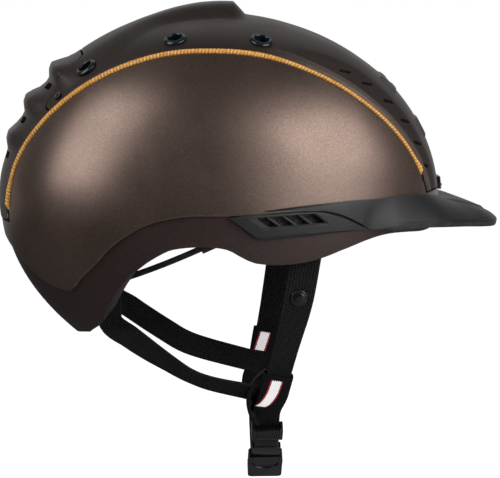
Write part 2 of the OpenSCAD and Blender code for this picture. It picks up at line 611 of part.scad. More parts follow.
// The room that a band and its stud take in the liner
module band_room() {
    translate([0, -band_out - 0.8, -band_half - 1.8]) cube([stud_x - 2, band_out - arm_in + 2, 2 * band_half + 3.6]);
    translate([stud_x, -band_out - 0.8, 0]) rotate([-90, 0, 0]) cylinder(d = 12.8, h = band_out - arm_in + 2, $fn = 40);
    translate([stud_x, -band_out - stud_l - 0.4, 0]) rotate([-90, 0, 0]) cylinder(d = stud_d + 0.5, h = 10, $fn = 20);
}
module side_band_right() { color(satin_black) side_band(); }
module side_band_left() { color(satin_black) mirror([0, 1, 0]) side_band(); }
module band_studs() {
    color(gloss_black) both_sides() in_ring() translate([stud_x, -band_in + 1.1, 0]) rotate([90, 0, 0]) {
        cylinder(d = stud_d, h = stud_l, $fn = 32);
        cylinder(d = 7, h = 1, $fn = 32);
    }
}

// The cradle against the neck and the dial behind it
cradle_in = ring_r - 4.5;
cradle_out = ring_r - 2;
housing_in = ring_r - 1.6;
rack_gap = 0.35;
housing_out = arm_out + rack_gap + 1.6;
housing_half = rack_high + rack_gap + 1.5;
module neck_cradle() {
    color(satin_black) in_ring() {
        arc(-31, 31, cradle_in, cradle_out, -16, 11);
        arc(-housing_turn, housing_turn, cradle_out - 0.1, housing_in, -housing_half, housing_half);
    }
}
module dial_housing() {
    color(satin_black) in_ring() difference() {
        arc(-housing_turn, housing_turn, housing_in, housing_out, -housing_half, housing_half);
        arc(-housing_turn - 1, housing_turn + 1, arm_in - rack_gap, arm_out + rack_gap,
            -rack_high - rack_gap, rack_high + rack_gap);
        translate([-ring_r - 20, 0, 0]) rotate([0, 90, 0]) cylinder(d = spindle_d + 0.5, h = 21, $fn = 40);
    }
}
pinion_root = pinion_r - 1.15;
pinion_tip = pinion_r + 0.85;
knob_start = housing_out + 0.5;
module dial_pinion() {
    color(steel) in_ring() translate([-arm_out + 0.05, 0, 0]) rotate([0, 90, 0]) {
        linear_extrude(arm_t - 0.1) union() {
            circle(r = pinion_root, $fn = 40);
            for (i = [0:pinion_teeth - 1]) rotate(i * 360 / pinion_teeth)
                polygon([[pinion_root - 0.3, -0.8], [pinion_r, -0.55], [pinion_tip, -0.28], [pinion_tip, 0.28],
                    [pinion_r, 0.55], [pinion_root - 0.3, 0.8]]);
        }
        translate([0, 0, -(knob_start - arm_out + 4)]) cylinder(d = spindle_d, h = knob_start - arm_out + 4.2, $fn = 40);
    }
}
knob_lobes = 18;
module dial_knob() {
    color(satin_black) in_ring() translate([-knob_start, 0, 0]) rotate([0, -90, 0]) difference() {
        cylinder(d = knob_d, h = knob_h, $fn = 72);
        translate([0, 0, -1]) cylinder(d = spindle_d + 0.3, h = knob_h + 2, $fn = 40);
        translate([0, 0, knob_h - 1.6]) cylinder(d = 7, h = 3, $fn = 40);
        for (i = [0:knob_lobes - 1]) rotate(i * 360 / knob_lobes) translate([knob_d / 2 + 0.9, 0, 1.2])
            cylinder(r = 1.9, h = knob_h, $fn = 20);
    }
}
module dial_screw() {
    color(steel) in_ring() translate([-knob_start - knob_h + 1.4, 0, 0]) rotate([0, -90, 0]) difference() {
        union() {
            cylinder(d = 6.2, h = 1.4, $fn = 40);
            translate([0, 0, -(knob_h - 1.4 - 4) + 0.3]) cylinder(d = 2.6, h = knob_h - 1.4 - 4, $fn = 32);
        }
        translate([-2.4, -0.4, 0.7]) cube([4.8, 0.8, 1]);
    }
}
module nape_pad() {
    color(grey_foam) in_ring() arc(-27, 27, cradle_in - fit - pad_t, cradle_in - fit, -14, 9);
}

// The buckle's own frame: y runs from the mouth of the socket to its far end and z points to the chin
buckle_slope = 45;
buckle_at = [27.6, -23.2, -157.4];
buckle_dir = [0, cos(buckle_slope), -sin(buckle_slope)];
buckle_up = [0, sin(buckle_slope), cos(buckle_slope)];
module in_buckle() { translate(buckle_at) rotate([-buckle_slope, 0, 0]) children(); }
function on_buckle(y, up = 0) = buckle_at + y * buckle_dir + up * buckle_up;
male_z0 = -3;
male_z1 = 1.3;
plug_half = buckle_w / 2 - buckle_wall - 0.4;
prong_z0 = male_z0 + 0.7;
prong_z1 = male_z1 - 0.7;
prong_x = plug_half - 2.1;
prong_out = buckle_w / 2 + 0.4;
female_z0 = male_z0 - 0.35 - buckle_wall;
loop_z = -1.4;
strap_up = female_z0 + 3.2;

// Webbing: points down its middle, right side
ply_up = 2.6;
lock_y = -23.5;
// Each point's last number is how far it follows the shell's side when the shell changes
hang_x = 49;
strap_in = 5.25;
hang_shift = on(dir(hang_x * drawn_l / half_l, -17), liner_out_low - strap_in)[1] + 88.6;
function hung(p) = [p[0], p[1] + p[3] * hang_shift, p[2]];
front_path = concat(
    [for (p = [
        [hang_x, -88.6, -17, 1], [47.3, -88.6, -27, 1], [45.6, -87.6, -38, 1], [43.9, -86, -49, 0.9], [41.8, -83.4, -60, 0.75],
        [39.6, -80, -70, 0.55], [37.4, -76, -80, 0.3], [35.2, -71.6, -90, 0.1], [33, -66.6, -100, 0],
        [31, -61.4, -109.5, 0], [29.2, -56, -119, 0]
    ]) hung(p)],
    [for (y = [-40, -30, lock_y, lock_y + 8]) on_buckle(y, ply_up)]
);
left_path = concat(
    [for (i = [0:11]) mirror_y(front_path[i])],
    [[27.8, 43.6, -135], [27.6, 35.6, -144.6], [27.6, 27, -154], [27.6, 18.4, -162.6], [27.6, 10.6, -169.6],
        [27.6, 4, -174.6], [27.6, -1, -176.4], [27.6, -5.4, -175.9],
        on_buckle(buckle_l - 0.6, strap_up), on_buckle(buckle_l - 3.4, strap_up)]
);
join_i = 9.8;
ply = web_t + 0.5;
function facing_at(path, i) = let(d = unit(at(path, i + 1) - at(path, i - 1))) cross(d, [1, 0, 0]);
function facing(path) = [for (i = [0:len(path) - 1]) facing_at(path, i)];
join_dir = unit(front_path[10] - front_path[9]);
join_out = cross(join_dir, [1, 0, 0]);
join_at = along(front_path, join_i) - (ply + 0.2) * join_out;
function joined(t, drop) = join_at + t * (cos(drop) * [1, 0, 0] + sin(drop) * join_dir);
rear_start = [for (k = [[-88, -53, 7.4], [-80, -60, 11.4]]) on(dir(k[0], k[1]), liner_out_low - k[2])];
rear_line = concat(
    rear_start,
    [for (p = [
        [-69, -56.4, -68, 0.6], [-57.5, -59.2, -76.6, 0.6], [-46, -60.4, -84.8, 0.5], [-34, -60.8, -92.8, 0.3],
        [-22, -61.1, -100.2, 0.1], [-8, -61.8, -105.6, 0]
    ]) hung(p) + [p[0] * min(1, 1.7 * p[3]) * (half_l / drawn_l - 1), 0, 0]],
    [joined(-16, 20), joined(-7, 26), joined(1, 30)]
);
rear_faces = [for (i = [0:len(rear_line) - 1]) unit([0, -1, 0] + ease((i - 4) / 5) * (join_out - [0, -1, 0]))];

function strip(path, normals, w, t, per = 2) = let(
    n = (len(path) - 1) * per,
    pts = [for (i = [0:n]) along(path, i / per)],
    nrm = [for (i = [0:n]) along(normals, i / per)]
) [for (i = [0:n]) let(
    d = unit(pts[min(i + 1, n)] - pts[max(i - 1, 0)]),
    side = unit(cross(nrm[i], d)), up = cross(d, side)
) [for (c = [[-1, -1], [1, -1], [1, 1], [-1, 1]]) pts[i] + c[0] * w / 2 * side + c[1] * t / 2 * up]];
module strap(path, normals) { color(web_black) sweep(strip(path, normals, web_w, web_t)); }
module strap_room(path, normals) {
    head = concat([path[0] - 6 * unit(path[1] - path[0])], [for (i = [0:4]) path[i]]);
    sweep(strip(head, concat([normals[0]], normals), web_w + 2.4, web_t + 3.6));
}
module front_strap_right() { strap(front_path, facing(front_path)); }
module front_strap_left() { strap(left_path, facing(left_path)); }
module rear_strap_right() { strap(rear_line, rear_faces); }
module rear_strap_left() { mirror([0, 1, 0]) strap(rear_line, rear_faces); }
module strap_anchors() {
    color(gloss_black) both_sides() for (p = [front_path, rear_line]) {
        d = unit(p[1] - p[0]);
        w = unit(cross([0, -1, 0], d));
        translate(p[0] - 3 * d - (web_w / 2) * w) rotate([0, acos(w[2]), atan2(w[1], w[0])])
            cylinder(d = 3, h = web_w, $fn = 32);
    }
}

// Elastic keepers round the straps where the rear webbing joins the front one, open towards the rear
keeper_wall = 0.9;
keeper_from = 17;
keeper_span = 4;
module keeper() {
    faces = facing(front_path);
    middle_line = [for (i = [0:len(front_path) - 1]) front_path[i] - ply / 2 * faces[i]];
    outer = strip(middle_line, faces, web_w + 1 + 2 * keeper_wall, ply + web_t + 0.8 + 2 * keeper_wall);
    bore = strip([for (p = middle_line) p - [6, 0, 0]], faces, web_w + 13, ply + web_t + 0.8);
    color(web_black) difference() {
        sweep([for (i = [0:keeper_span]) outer[keeper_from + i]]);
        sweep([for (i = [-1:keeper_span + 1]) bore[keeper_from + i]]);
    }
}
module keeper_right() { keeper(); }
module keeper_left() { mirror([0, 1, 0]) keeper(); }

// Press studs through the front straps
snap_i = 3;
module at_snap() {
    d = unit(front_path[snap_i + 1] - front_path[snap_i - 1]);
    n = cross(d, [1, 0, 0]);
    translate(front_path[snap_i]) rotate([0, acos(n[2]), atan2(n[1], n[0])]) children();
}
module snap_caps() {
    color(gloss_black) both_sides() at_snap() translate([0, 0, web_t / 2 + 0.05]) rotate_extrude($fn = 48)
        polygon([[0, 0], [snap_d / 2, 0], [snap_d / 2, 0.7], [snap_d / 2 - 1, 1.5], [snap_d / 2 - 3, 1.9], [0, 2.1]]);
}
module snap_sockets() {
    color(steel) both_sides() at_snap() translate([0, 0, -web_t / 2 - 2.35]) difference() {
        cylinder(d = snap_d - 1, h = 2, $fn = 40);
        translate([0, 0, -1]) cylinder(d = 4.4, h = 2.2, $fn = 32);
    }
}

// The ladder lock, the loop of webbing under it and the buckle
lock_w = web_w + 4.5;
module ladder_lock() {
    color(gloss_black) in_buckle() difference() {
        union() {
            translate([-lock_w / 2, lock_y - 5.5, -3.2]) cube([lock_w, 11, 8]);
            for (i = [-1:1]) translate([-lock_w / 2, lock_y + i * 2.4, -3.2]) rotate([0, 90, 0])
                cylinder(d = 1.6, h = lock_w, $fn = 24);
        }
        translate([-web_w / 2 - 0.6, lock_y - 7, ply_up - web_t / 2 - 0.4]) cube([web_w + 1.2, 14, web_t + 0.8]);
        translate([-web_w / 2 - 0.6, lock_y - 1.5, loop_z - web_t / 2 - 0.3]) cube([web_w + 1.2, 8, web_t + 0.6]);
    }
}
module chin_strap() {
    color(web_black) in_buckle() translate([-web_w / 2, lock_y - 1, loop_z - web_t / 2]) cube([web_w, -lock_y - 5, web_t]);
}
module buckle_male() {
    color(gloss_black) in_buckle() difference() {
        union() {
            translate([-plug_half, -10, male_z0]) cube([2 * plug_half, 9.6, male_z1 - male_z0]);
            translate([-1.6, -0.5, male_z0 + 0.6]) cube([3.2, 14.4, male_z1 - male_z0 - 1.2]);
        }
        translate([-web_w / 2 - 0.5, -11, loop_z - web_t / 2 - 0.3]) cube([web_w + 1, 5.4, web_t + 0.6]);
    }
}
module prong(side) {
    color(gloss_black) in_buckle() translate([0, 0, prong_z0]) linear_extrude(prong_z1 - prong_z0)
        polygon([for (p = [
            [prong_x - 2, 0], [prong_x, 0], [prong_x + 0.2, 6.6], [prong_out - 0.7, 7.6], [prong_out, 8.5],
            [prong_out, 10.4], [prong_x + 1.6, 12.2], [prong_x + 1.3, 14], [prong_x - 0.8, 14], [prong_x - 1.6, 7]
        ]) [side * p[0], p[1]]]);
}
module prong_front() { prong(1); }
module prong_rear() { prong(-1); }
module buckle_female() {
    cavity_x = plug_half + 0.35;
    color(gloss_black) in_buckle() difference() {
        translate([0, 0, female_z0]) linear_extrude(buckle_t) offset(r = 2.5, $fn = 32)
            translate([-buckle_w / 2 + 2.5, 2.5]) square([buckle_w - 5, buckle_l - 5]);
        translate([-cavity_x, -1, male_z0 - 0.35]) cube([2 * cavity_x, 16.2, male_z1 - male_z0 + 0.7]);
        translate([-buckle_w, 7, male_z0 - 0.1]) cube([2 * buckle_w, 5.8, male_z1 - male_z0 + 0.2]);
        translate([-web_w / 2 - 0.5, buckle_l - 4.6, female_z0 + 2]) cube([web_w + 1, 2.2, buckle_t]);
        translate([-web_w / 2 - 0.5, buckle_l - 4.6, female_z0 + 2]) cube([web_w + 1, 8, 2.3]);
    }
}
upper_shell();
lower_shell();
crown_cover();
rear_louvre();
impact_liner();
crown_eyelets();
louvre_screws();
front_vent_lips();
cord_right();
cord_left();
cord_plugs();
vent_panel_right();
vent_panel_left();
visor();
visor_latch();
latch_pin();
brow_pad();
crown_pad();
side_pad_right();
side_pad_left();
back_pad();
nape_pad();
neck_cradle();
dial_housing();
dial_pinion();
dial_knob();
dial_screw();
rack_right();
rack_left();
side_band_right();
side_band_left();
band_studs();
strap_anchors();
front_strap_right();
front_strap_left();
rear_strap_right();
rear_strap_left();
keeper_right();
keeper_left();
snap_caps();
snap_sockets();
ladder_lock();
chin_strap();
buckle_male();
prong_front();
prong_rear();
buckle_female();
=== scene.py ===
import bpy
import bmesh
import json
import math
import numpy as np
from contextlib import contextmanager
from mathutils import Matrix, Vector


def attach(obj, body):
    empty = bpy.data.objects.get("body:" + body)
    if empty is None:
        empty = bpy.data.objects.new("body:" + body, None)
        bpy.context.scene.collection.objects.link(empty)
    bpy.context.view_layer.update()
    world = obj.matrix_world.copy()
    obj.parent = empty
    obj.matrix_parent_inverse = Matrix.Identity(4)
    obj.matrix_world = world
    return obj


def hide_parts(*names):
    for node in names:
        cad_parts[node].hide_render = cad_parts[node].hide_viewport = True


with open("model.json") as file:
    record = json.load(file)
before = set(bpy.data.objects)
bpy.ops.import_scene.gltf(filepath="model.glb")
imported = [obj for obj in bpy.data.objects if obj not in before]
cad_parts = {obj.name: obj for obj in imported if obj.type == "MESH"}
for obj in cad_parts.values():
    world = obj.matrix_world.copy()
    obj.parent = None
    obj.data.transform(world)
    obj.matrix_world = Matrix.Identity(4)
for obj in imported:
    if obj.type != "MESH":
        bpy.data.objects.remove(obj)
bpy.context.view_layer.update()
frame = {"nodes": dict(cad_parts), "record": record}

mm = 0.001


# the shell's form, in millimetres, as the solids have it
shell = {
    "length": 275.0, "width": 214.0, "height": 118.0, "power": 2.4,
    "frontTaper": 0.05, "endTaper": 0.03, "rimTuck": 0.15,
    "coverThick": 3.0, "gap": 0.3, "cordDiameter": 3.0, "lowOff": -1.8, "seatOff": -3.4,
}
halfL, halfW, crownH = shell["length"] / 2, shell["width"] / 2, shell["height"]


def tuck(uz):
    return 1 - shell["rimTuck"] * np.minimum(uz, 0) ** 2


def egg(ux):
    return 1 - shell["frontTaper"] * ux - shell["endTaper"] * ux ** 2


def points(x, y, z):
    return np.stack(np.broadcast_arrays(x, y, z), -1)


def unit(v):
    v = np.asarray(v, float)
    return v / np.linalg.norm(v, axis=-1, keepdims=True)


def direction(x, z):
    # where a point seen from the side lies on the right half
    uz = np.clip(np.asarray(z, float) / crownH, -1, 1)
    reach = np.sqrt(1 - uz * uz)
    ux = np.clip(np.asarray(x, float) / (halfL * tuck(uz)), -reach, reach)
    return points(ux, -np.sqrt(np.maximum(0, 1 - ux * ux - uz * uz)), uz)


def onShell(u, off=0.0):
    k = tuck(u[..., 2])
    y = np.sign(u[..., 1]) * np.abs(u[..., 1]) ** (2 / shell["power"])
    return points((halfL + off) * k * u[..., 0], (halfW + off) * k * egg(u[..., 0]) * y, (crownH + off) * u[..., 2])


def across(psi, beta):
    psi, beta = np.radians(psi), np.radians(beta)
    return points(np.cos(beta) * np.cos(psi), np.sin(beta), np.cos(beta) * np.sin(psi))


def shellNormal(u):
    y = np.sign(u[..., 1]) * np.abs(u[..., 1]) ** (2 - 2 / shell["power"])
    return unit(points(u[..., 0] / halfL, y / halfW, u[..., 2] / crownH))


def slerp(a, b, t):
    w = np.arccos(np.clip((a * b).sum(-1, keepdims=True), -1, 1))
    s = np.sin(w)
    flat = s < 1e-3
    s = np.where(flat, 1, s)
    return np.where(flat, a + (b - a) * t, (np.sin((1 - t) * w) * a + np.sin(t * w) * b) / s)


def ease(v):
    t = np.clip(v, 0, 1)
    return t * t * (3 - 2 * t)


def along(table, s):
    # a smooth value at s, counted in places of the table
    table, s = np.asarray(table, float), np.asarray(s, float)
    last = len(table) - 1
    i = np.clip(np.floor(s).astype(int), 0, last - 1)
    t = (s - i)[..., None] if table.ndim > 1 else s - i
    p0, p1, p2, p3 = (table[np.clip(i + d, 0, last)] for d in (-1, 0, 1, 2))
    return p1 + 0.5 * t * (p2 - p0 + t * (2 * p0 - 5 * p1 + 4 * p2 - p3 + t * (3 * (p1 - p2) + p3 - p0)))


def keyed(pairs, k):
    # a smooth value at key k of (key, value) pairs
    keys, vals = np.array(pairs, float).T
    i = np.clip(np.searchsorted(keys, k, side="right") - 1, 0, len(keys) - 2)
    return along(vals, i + np.clip((k - keys[i]) / (keys[i + 1] - keys[i]), 0, 1))


def runLength(path):
    return np.concatenate([[0], np.cumsum(np.linalg.norm(np.diff(path, axis=0), axis=1))])


def mirrored(points):
    return points * np.array([1, -1, 1])


# mesh builders
def placed(name, data):
    item = bpy.data.objects.new(name, data)
    bpy.context.scene.collection.objects.link(item)
    return item


def shade(mesh, sharp):
    mesh.shade_smooth()
    mesh.set_sharp_from_angle(angle=math.radians(sharp))


@contextmanager
def edited(mesh):
    bm = bmesh.new()
    bm.from_mesh(mesh)
    yield bm
    bm.to_mesh(mesh)
    bm.free()


def newObject(name, verts, faces, sharp):
    mesh = bpy.data.meshes.new(name)
    mesh.from_pydata([tuple(v) for v in verts * mm], [], faces)
    with edited(mesh) as bm:
        bmesh.ops.remove_doubles(bm, verts=bm.verts, dist=1e-6)
        bmesh.ops.recalc_face_normals(bm, faces=bm.faces)
    shade(mesh, sharp)
    return placed(name, mesh)


def gridFaces(rows, cols, ringRows=False):
    r, c = np.meshgrid(np.arange(rows if ringRows else rows - 1), np.arange(cols), indexing="ij")
    r1, c1 = (r + 1) % rows, (c + 1) % cols
    return np.stack([r * cols + c, r1 * cols + c, r1 * cols + c1, r * cols + c1], -1).reshape(-1, 4).tolist()


def mapLoops(piece, cols, u, v, wraps=False):
    # gives a piece made of rows of sections its map, in metres along u and as given across
    mesh = piece.data
    index = np.empty(len(mesh.loops), int)
    mesh.loops.foreach_get("vertex_index", index)
    row, col = index // cols, index % cols
    side = np.asarray(v, float)[col]
    if wraps:
        for face in mesh.polygons:
            span = slice(face.loop_start, face.loop_start + face.loop_total)
            if face.loop_total == 4 and col[span].max() == cols - 1 and col[span].min() == 0:
                side[span] = np.where(col[span] == 0, 1.0, side[span])
    mesh.uv_layers.new(name="map").data.foreach_set("uv", np.stack([u[row], side], -1).ravel())
    return piece


def loopSolid(name, loops, sharp=30):
    # rows of closed sections, capped at both ends
    loops = np.asarray(loops, float)
    rows, cols = loops.shape[:2]
    caps = [list(range(cols)), list(range((rows - 1) * cols, rows * cols))[::-1]]
    return newObject(name, loops.reshape(-1, 3), gridFaces(rows, cols) + caps, sharp)


def skinSolid(name, outer, inner, ringRows=False, sharp=50):
    # a closed skin between two grids with the same rows and columns
    loops = np.concatenate([outer, inner[:, ::-1]], 1)
    rows, cols = loops.shape[:2]
    faces = gridFaces(rows, cols, ringRows)
    for base in () if ringRows else (0, (rows - 1) * cols):
        for c in range(cols // 2 - 1):
            faces.append([base + c, base + c + 1, base + cols - 2 - c, base + cols - 1 - c])
    return newObject(name, loops.reshape(-1, 3), faces, sharp)


def discard(items):
    for item in items:
        spent = item.data
        bpy.data.objects.remove(item)
        bpy.data.meshes.remove(spent)


def bake(piece):
    # keeps the piece's mesh as its modifiers leave it
    old = piece.data
    mesh = bpy.data.meshes.new_from_object(piece.evaluated_get(bpy.context.evaluated_depsgraph_get()))
    piece.modifiers.clear()
    piece.data = mesh
    bpy.data.meshes.remove(old)


def carve(piece, cutters, sharp=35):
    for cutter in cutters:
        step = piece.modifiers.new("cut", "BOOLEAN")
        step.object, step.operation, step.solver = cutter, "DIFFERENCE", "MANIFOLD"
    bake(piece)
    shade(piece.data, sharp)
    discard(cutters)
    return piece


def frameAt(u, turn=0.0):
    # a point on the shell and three axes there: towards the crown and along the shell, both turned, and outward
    n = shellNormal(u)
    x = np.array([n[2] * n[0], n[2] * n[1], -(n[0] ** 2 + n[1] ** 2)])
    size = np.linalg.norm(x)
    x = x / size if size > 1e-6 else np.array([1.0, 0, 0])
    y = np.cross(n, x)
    c, s = math.cos(math.radians(turn)), math.sin(math.radians(turn))
    return onShell(u), c * x - s * y, s * x + c * y, n


def prism(outline, low, high, place):
    at, x, y, n = place
    return loopSolid("cutter", [at + outline[:, :1] * x + outline[:, 1:] * y + h * n for h in (low, high)])


def circle(radius):
    a = np.linspace(0, 2 * math.pi, 32, endpoint=False)
    return np.stack([radius * np.cos(a), radius * np.sin(a)], -1)


def longHole(length, width):
    # a slot's outline, its long side along the second axis
    a = np.linspace(0, math.pi, 10)
    top = np.stack([width / 2 * np.cos(a), (length - width) / 2 + width / 2 * np.sin(a)], -1)
    return np.concatenate([top, -top])


def joined(name, pieces):
    # several objects as one
    verts, faces = [], []
    for piece in pieces:
        start = len(verts)
        verts += [v.co.copy() for v in piece.data.vertices]
        faces += [[start + i for i in f.vertices] for f in piece.data.polygons]
    mesh = bpy.data.meshes.new(name)
    mesh.from_pydata(verts, [], faces)
    shade(mesh, 40)
    whole = placed(name, mesh)
    discard(pieces)
    return whole


def turned(profile, place):
    # a ring or a cap: a closed profile of radius and height turned round the place's axis
    at, x, y, n = place
    a = np.linspace(0, 2 * math.pi, 48, endpoint=False)[:, None, None]
    profile = np.asarray(profile, float)
    loops = at + profile[:, :1] * (np.cos(a) * x + np.sin(a) * y) + profile[:, 1:] * n
    return newObject("ring", loops.reshape(-1, 3), gridFaces(*loops.shape[:2], True), 40)


def rounded(outline, steps=3):
    # a smooth closed outline through the points
    t = np.linspace(0, len(outline), len(outline) * steps, endpoint=False)
    return along(np.concatenate([outline[-2:], outline, outline[:3]]), t + 2)


# the crown cover's edge, the seam and the rim
cordLine = [
    (-8, 20), (4, 23), (11, 24.6), (20, 27.5), (31, 30.6), (43, 33.3), (61, 34.9), (76, 34.7), (93, 34),
    (107, 31.8), (120, 29.8), (135, 26.9), (148, 23.6), (165, 18.7), (180, 17), (192, 16.5)]
grooveTurn = (shell["cordDiameter"] / 2 + 0.35) / 1.85


def cordBeta(psi):
    return keyed(cordLine, psi)


def seamCorner(psi):
    p = onShell(across(psi, cordBeta(psi) + grooveTurn))
    return (psi, float(p[0]), float(p[2]))


seamLine = [
    seamCorner(-0.5), (6, 122, 0.5), (15, 108, 1.5), (30, 88, 3), (45, 68, 4), (60, 45, 3.5), (75, 21, 2.5),
    (90, -7, 2.6), (100, -21, 2.6), (110, -35, 0.7), (118, -46, -2.4), (126, -56, -7.4), (134, -68, -16.3),
    (141, -77, -26.7), (148, -87, -38), (152, -90.5, -43.5), (155, -94, -46.5), (159, -99, -46), (165, -107, -43.6),
    (173, -116, -37.8), (182, -122.5, -31.4), seamCorner(194)]
rimPoints = [
    (126, -14.8), (112, -13.4), (100, -13.2), (88, -15.4), (70, -21.1), (56, -25.7), (43, -27.9), (29, -28.3),
    (16.6, -26.7), (9, -23), (1, -18.4), (-9, -16.5), (-21, -16.5), (-34, -18.4), (-43.6, -23.5),
    (-51.3, -29.3), (-59.6, -37.8), (-68, -50.6), (-73.5, -64), (-77.4, -71), (-83, -77)]
recessRear, rearArch = 184.0, 0.42


def bandPsi(psi, v):
    return np.where(psi <= recessRear + 0.2, psi,
                    recessRear + 0.2 + (psi - recessRear - 0.2) * (rearArch + (1 - rearArch) * v * v))


def roundedEdge(d, radius):
    # how far an edge of this radius has dropped at distance d from its brink
    d = np.clip(d, 0, radius)
    return -radius + np.sqrt(np.maximum(0, radius ** 2 - (radius - d) ** 2))


# upper shell: hoops from the right seam over the crown to the left one
upper = {"rows": 150, "sideCols": 34, "bandCols": 25, "lipRound": 0.8, "grooveRound": 0.6, "skin": 0.9, "lip": 1.6}


def buildUpperShell():
    last = len(seamLine) - 1
    fine = np.linspace(0, last, 2000)
    steps = np.interp((4.8, 4.9, 4.98, 5.06, 5.14, 5.25, 183.75, 183.86, 183.94, 184.02, 184.1, 184.2),
                      along(seamLine, fine)[:, 0], fine)
    s = np.unique(np.concatenate([np.linspace(0, last, upper["rows"]), steps]))
    keys = along(seamLine, s)
    psi, brink = keys[:, 0], direction(keys[:, 1], keys[:, 2])
    beta = cordBeta(psi) + grooveTurn
    edge = mirrored(across(psi, beta))
    inRecess = (ease((psi - 4.9) / 0.25) * ease((184.1 - psi) / 0.25))[:, None]
    whole = np.degrees(np.arccos(np.clip((brink * edge).sum(-1), -1, 1))) * 1.85
    span = np.maximum(whole, 6)[:, None]
    near = np.array([0, 0.12, 0.4, 0.8, 1.5])
    mid = np.linspace(0, 1, upper["sideCols"])[1:-1]
    t = np.concatenate([near / span, 1.5 / span + mid * (1 - 3 / span), 1 - near[::-1] / span], 1)
    offs = roundedEdge(t * span, upper["lipRound"]) + roundedEdge((1 - t) * span, upper["grooveRound"]) * inRecess
    u = slerp(brink[:, None, :], edge[:, None, :], t[..., None])
    underOff = np.full_like(offs, -upper["skin"])
    underOff[:, 0] = -upper["lip"]
    v = np.linspace(-1, 1, upper["bandCols"])
    bandU = across(bandPsi(psi[:, None], v), v * beta[:, None])
    drop = shell["seatOff"] * inRecess * np.ones_like(v)

    def hoops(sideOff, bandOff):
        right = onShell(u, sideOff)
        return np.concatenate([right, onShell(bandU, bandOff), mirrored(right)[:, ::-1]], 1)
    return skinSolid("upperShell", hoops(offs, drop), hoops(underOff, drop - upper["skin"]))


# lower shell: from the rim up behind the upper shell
lower = {"turns": 240, "cols": 22, "skin": 2.0, "rimRound": 0.9}


def turnOf(x, z):
    u = direction(x, z)
    return math.degrees(math.atan2(-u[1], u[0]))


def aroundRim(points, front, rear):
    return [(-20, front), (0, front)] + [(turnOf(p[0], p[1]), p[1]) for p in points] + [(180, rear), (200, rear)]


rimKeys = aroundRim(rimPoints, -13.5, -83)
lapTop = crownH * math.sin(math.radians(float(bandPsi(194.0, 0.0))))
lapKeys = aroundRim([(k[1], k[2]) for k in seamLine[1:-1]], 1, lapTop)
lapReach = [(0, 3.8), (28, 4.2), (40, 9), (140, 9), (160, 7), (180, 4)]


def fromTurn(a, z):
    uz = z / crownH
    s = np.sqrt(1 - uz * uz)
    return points(s * np.cos(np.radians(a)), -s * np.sin(np.radians(a)), uz)


def rimHeight(a):
    return keyed(rimKeys, a)


def lapHeight(a):
    return keyed(lapKeys, a) + np.interp(a, *zip(*lapReach))


def wholeRing(half):
    return np.concatenate([half, mirrored(half[1:-1])[::-1]], 0)


def buildLowerShell():
    a = np.linspace(0, 180, lower["turns"] // 2 + 1)
    low, high = rimHeight(a), lapHeight(a)
    near = np.array([0, 0.15, 0.45, 0.9, 1.6])
    tail = np.linspace(0, 1, lower["cols"])
    rise = np.maximum(high - low, 4)
    d = np.concatenate([np.broadcast_to(near, (len(a), 5)), 1.6 + tail[1:] * (rise[:, None] - 1.6)], 1)
    u = fromTurn(a[:, None], low[:, None] + d)
    edge = roundedEdge(d, lower["rimRound"])
    outer, inner = onShell(u, shell["lowOff"] + edge), onShell(u, shell["lowOff"] - lower["skin"] - edge)
    return skinSolid("lowerShell", wholeRing(outer), wholeRing(inner), True)


# crown cover and rear louvre: one run of relief over the top, parted by a curved seam
relief = {"channel": 1.3, "crease": 0.885, "gap": 0.3, "edgeDrop": 0.5, "slotTurn": 22}
spineLine = [
    (5, 0), (40, 0), (50, -0.5), (70, -0.5), (82, 0), (83.4, 0.3), (86.6, 7.6), (90, 7.6), (95, 7.2),
    (100, 6.3), (107, 4.8), (113, 4), (120, 3.6), (128, 3.4), (130, 3.6), (132.2, 4.6), (134.2, 6.6),
    (136.2, 8.6), (137.6, 7), (139.4, 3), (141.2, 2.2), (143.4, 3), (145.4, 5.4), (147.2, 7.1), (148.8, 6),
    (151.2, 1.8), (153.4, 1.6), (155.8, 2.8), (158.4, 5.2), (160.2, 4.6), (163, 1.4), (165, 1.3), (171, 1.6),
    (179, 1.2), (184, 0.4)]


def seamPsi(v):
    return 128 + 18 * ease((np.abs(v) - 0.38) / 0.5)


def coverU(psi, v):
    return across(psi, v * (cordBeta(psi) - grooveTurn))


def reliefOff(psi, v):
    a = np.abs(v)
    spread = ease((psi - 104) / 22)
    inside, outside = 0.15 + 0.23 * spread, 0.4 + 0.56 * spread
    height = np.interp(psi, *zip(*spineLine)) * (1 - ease((a - inside) / (outside - inside)))
    wall = relief["crease"] - 0.17 * ease((76 - psi) / 28)
    depth = relief["channel"] * ease((76 - psi) / 16)
    channel = depth * ease((a - wall + 0.12) / 0.2) * ease((relief["crease"] + 0.012 - a) / 0.02)
    return height - channel - relief["edgeDrop"] * ease((a - 0.95) / 0.05)


eyeletPlaces = [(psi, side * v) for psi, v in ((103.5, 0.79), (79.2, 0.8), (129.5, 0.73)) for side in (-1, 1)]
frontVents = [(40, 17), (24, 14)]
slotPlaces = [(53, 0.76), (45.5, 0.72), (37, 0.7), (29, 0.7), (21, 0.73), (13.5, 0.79)]
louvrePlaces = [141, 153, 164.4]


def ventCutters(eyelet, width, low):
    return [prism(circle(eyelet), low, 12, frameAt(coverU(psi, v))) for psi, v in eyeletPlaces] + [
        prism(longHole(2 * half, width), low, 12, frameAt(across(psi, 0.0))) for psi, half in frontVents]


def coverPart(name, psi, v):
    u = coverU(psi, v)
    return skinSolid(name, onShell(u, reliefOff(psi, v)), onShell(u, -shell["coverThick"]))


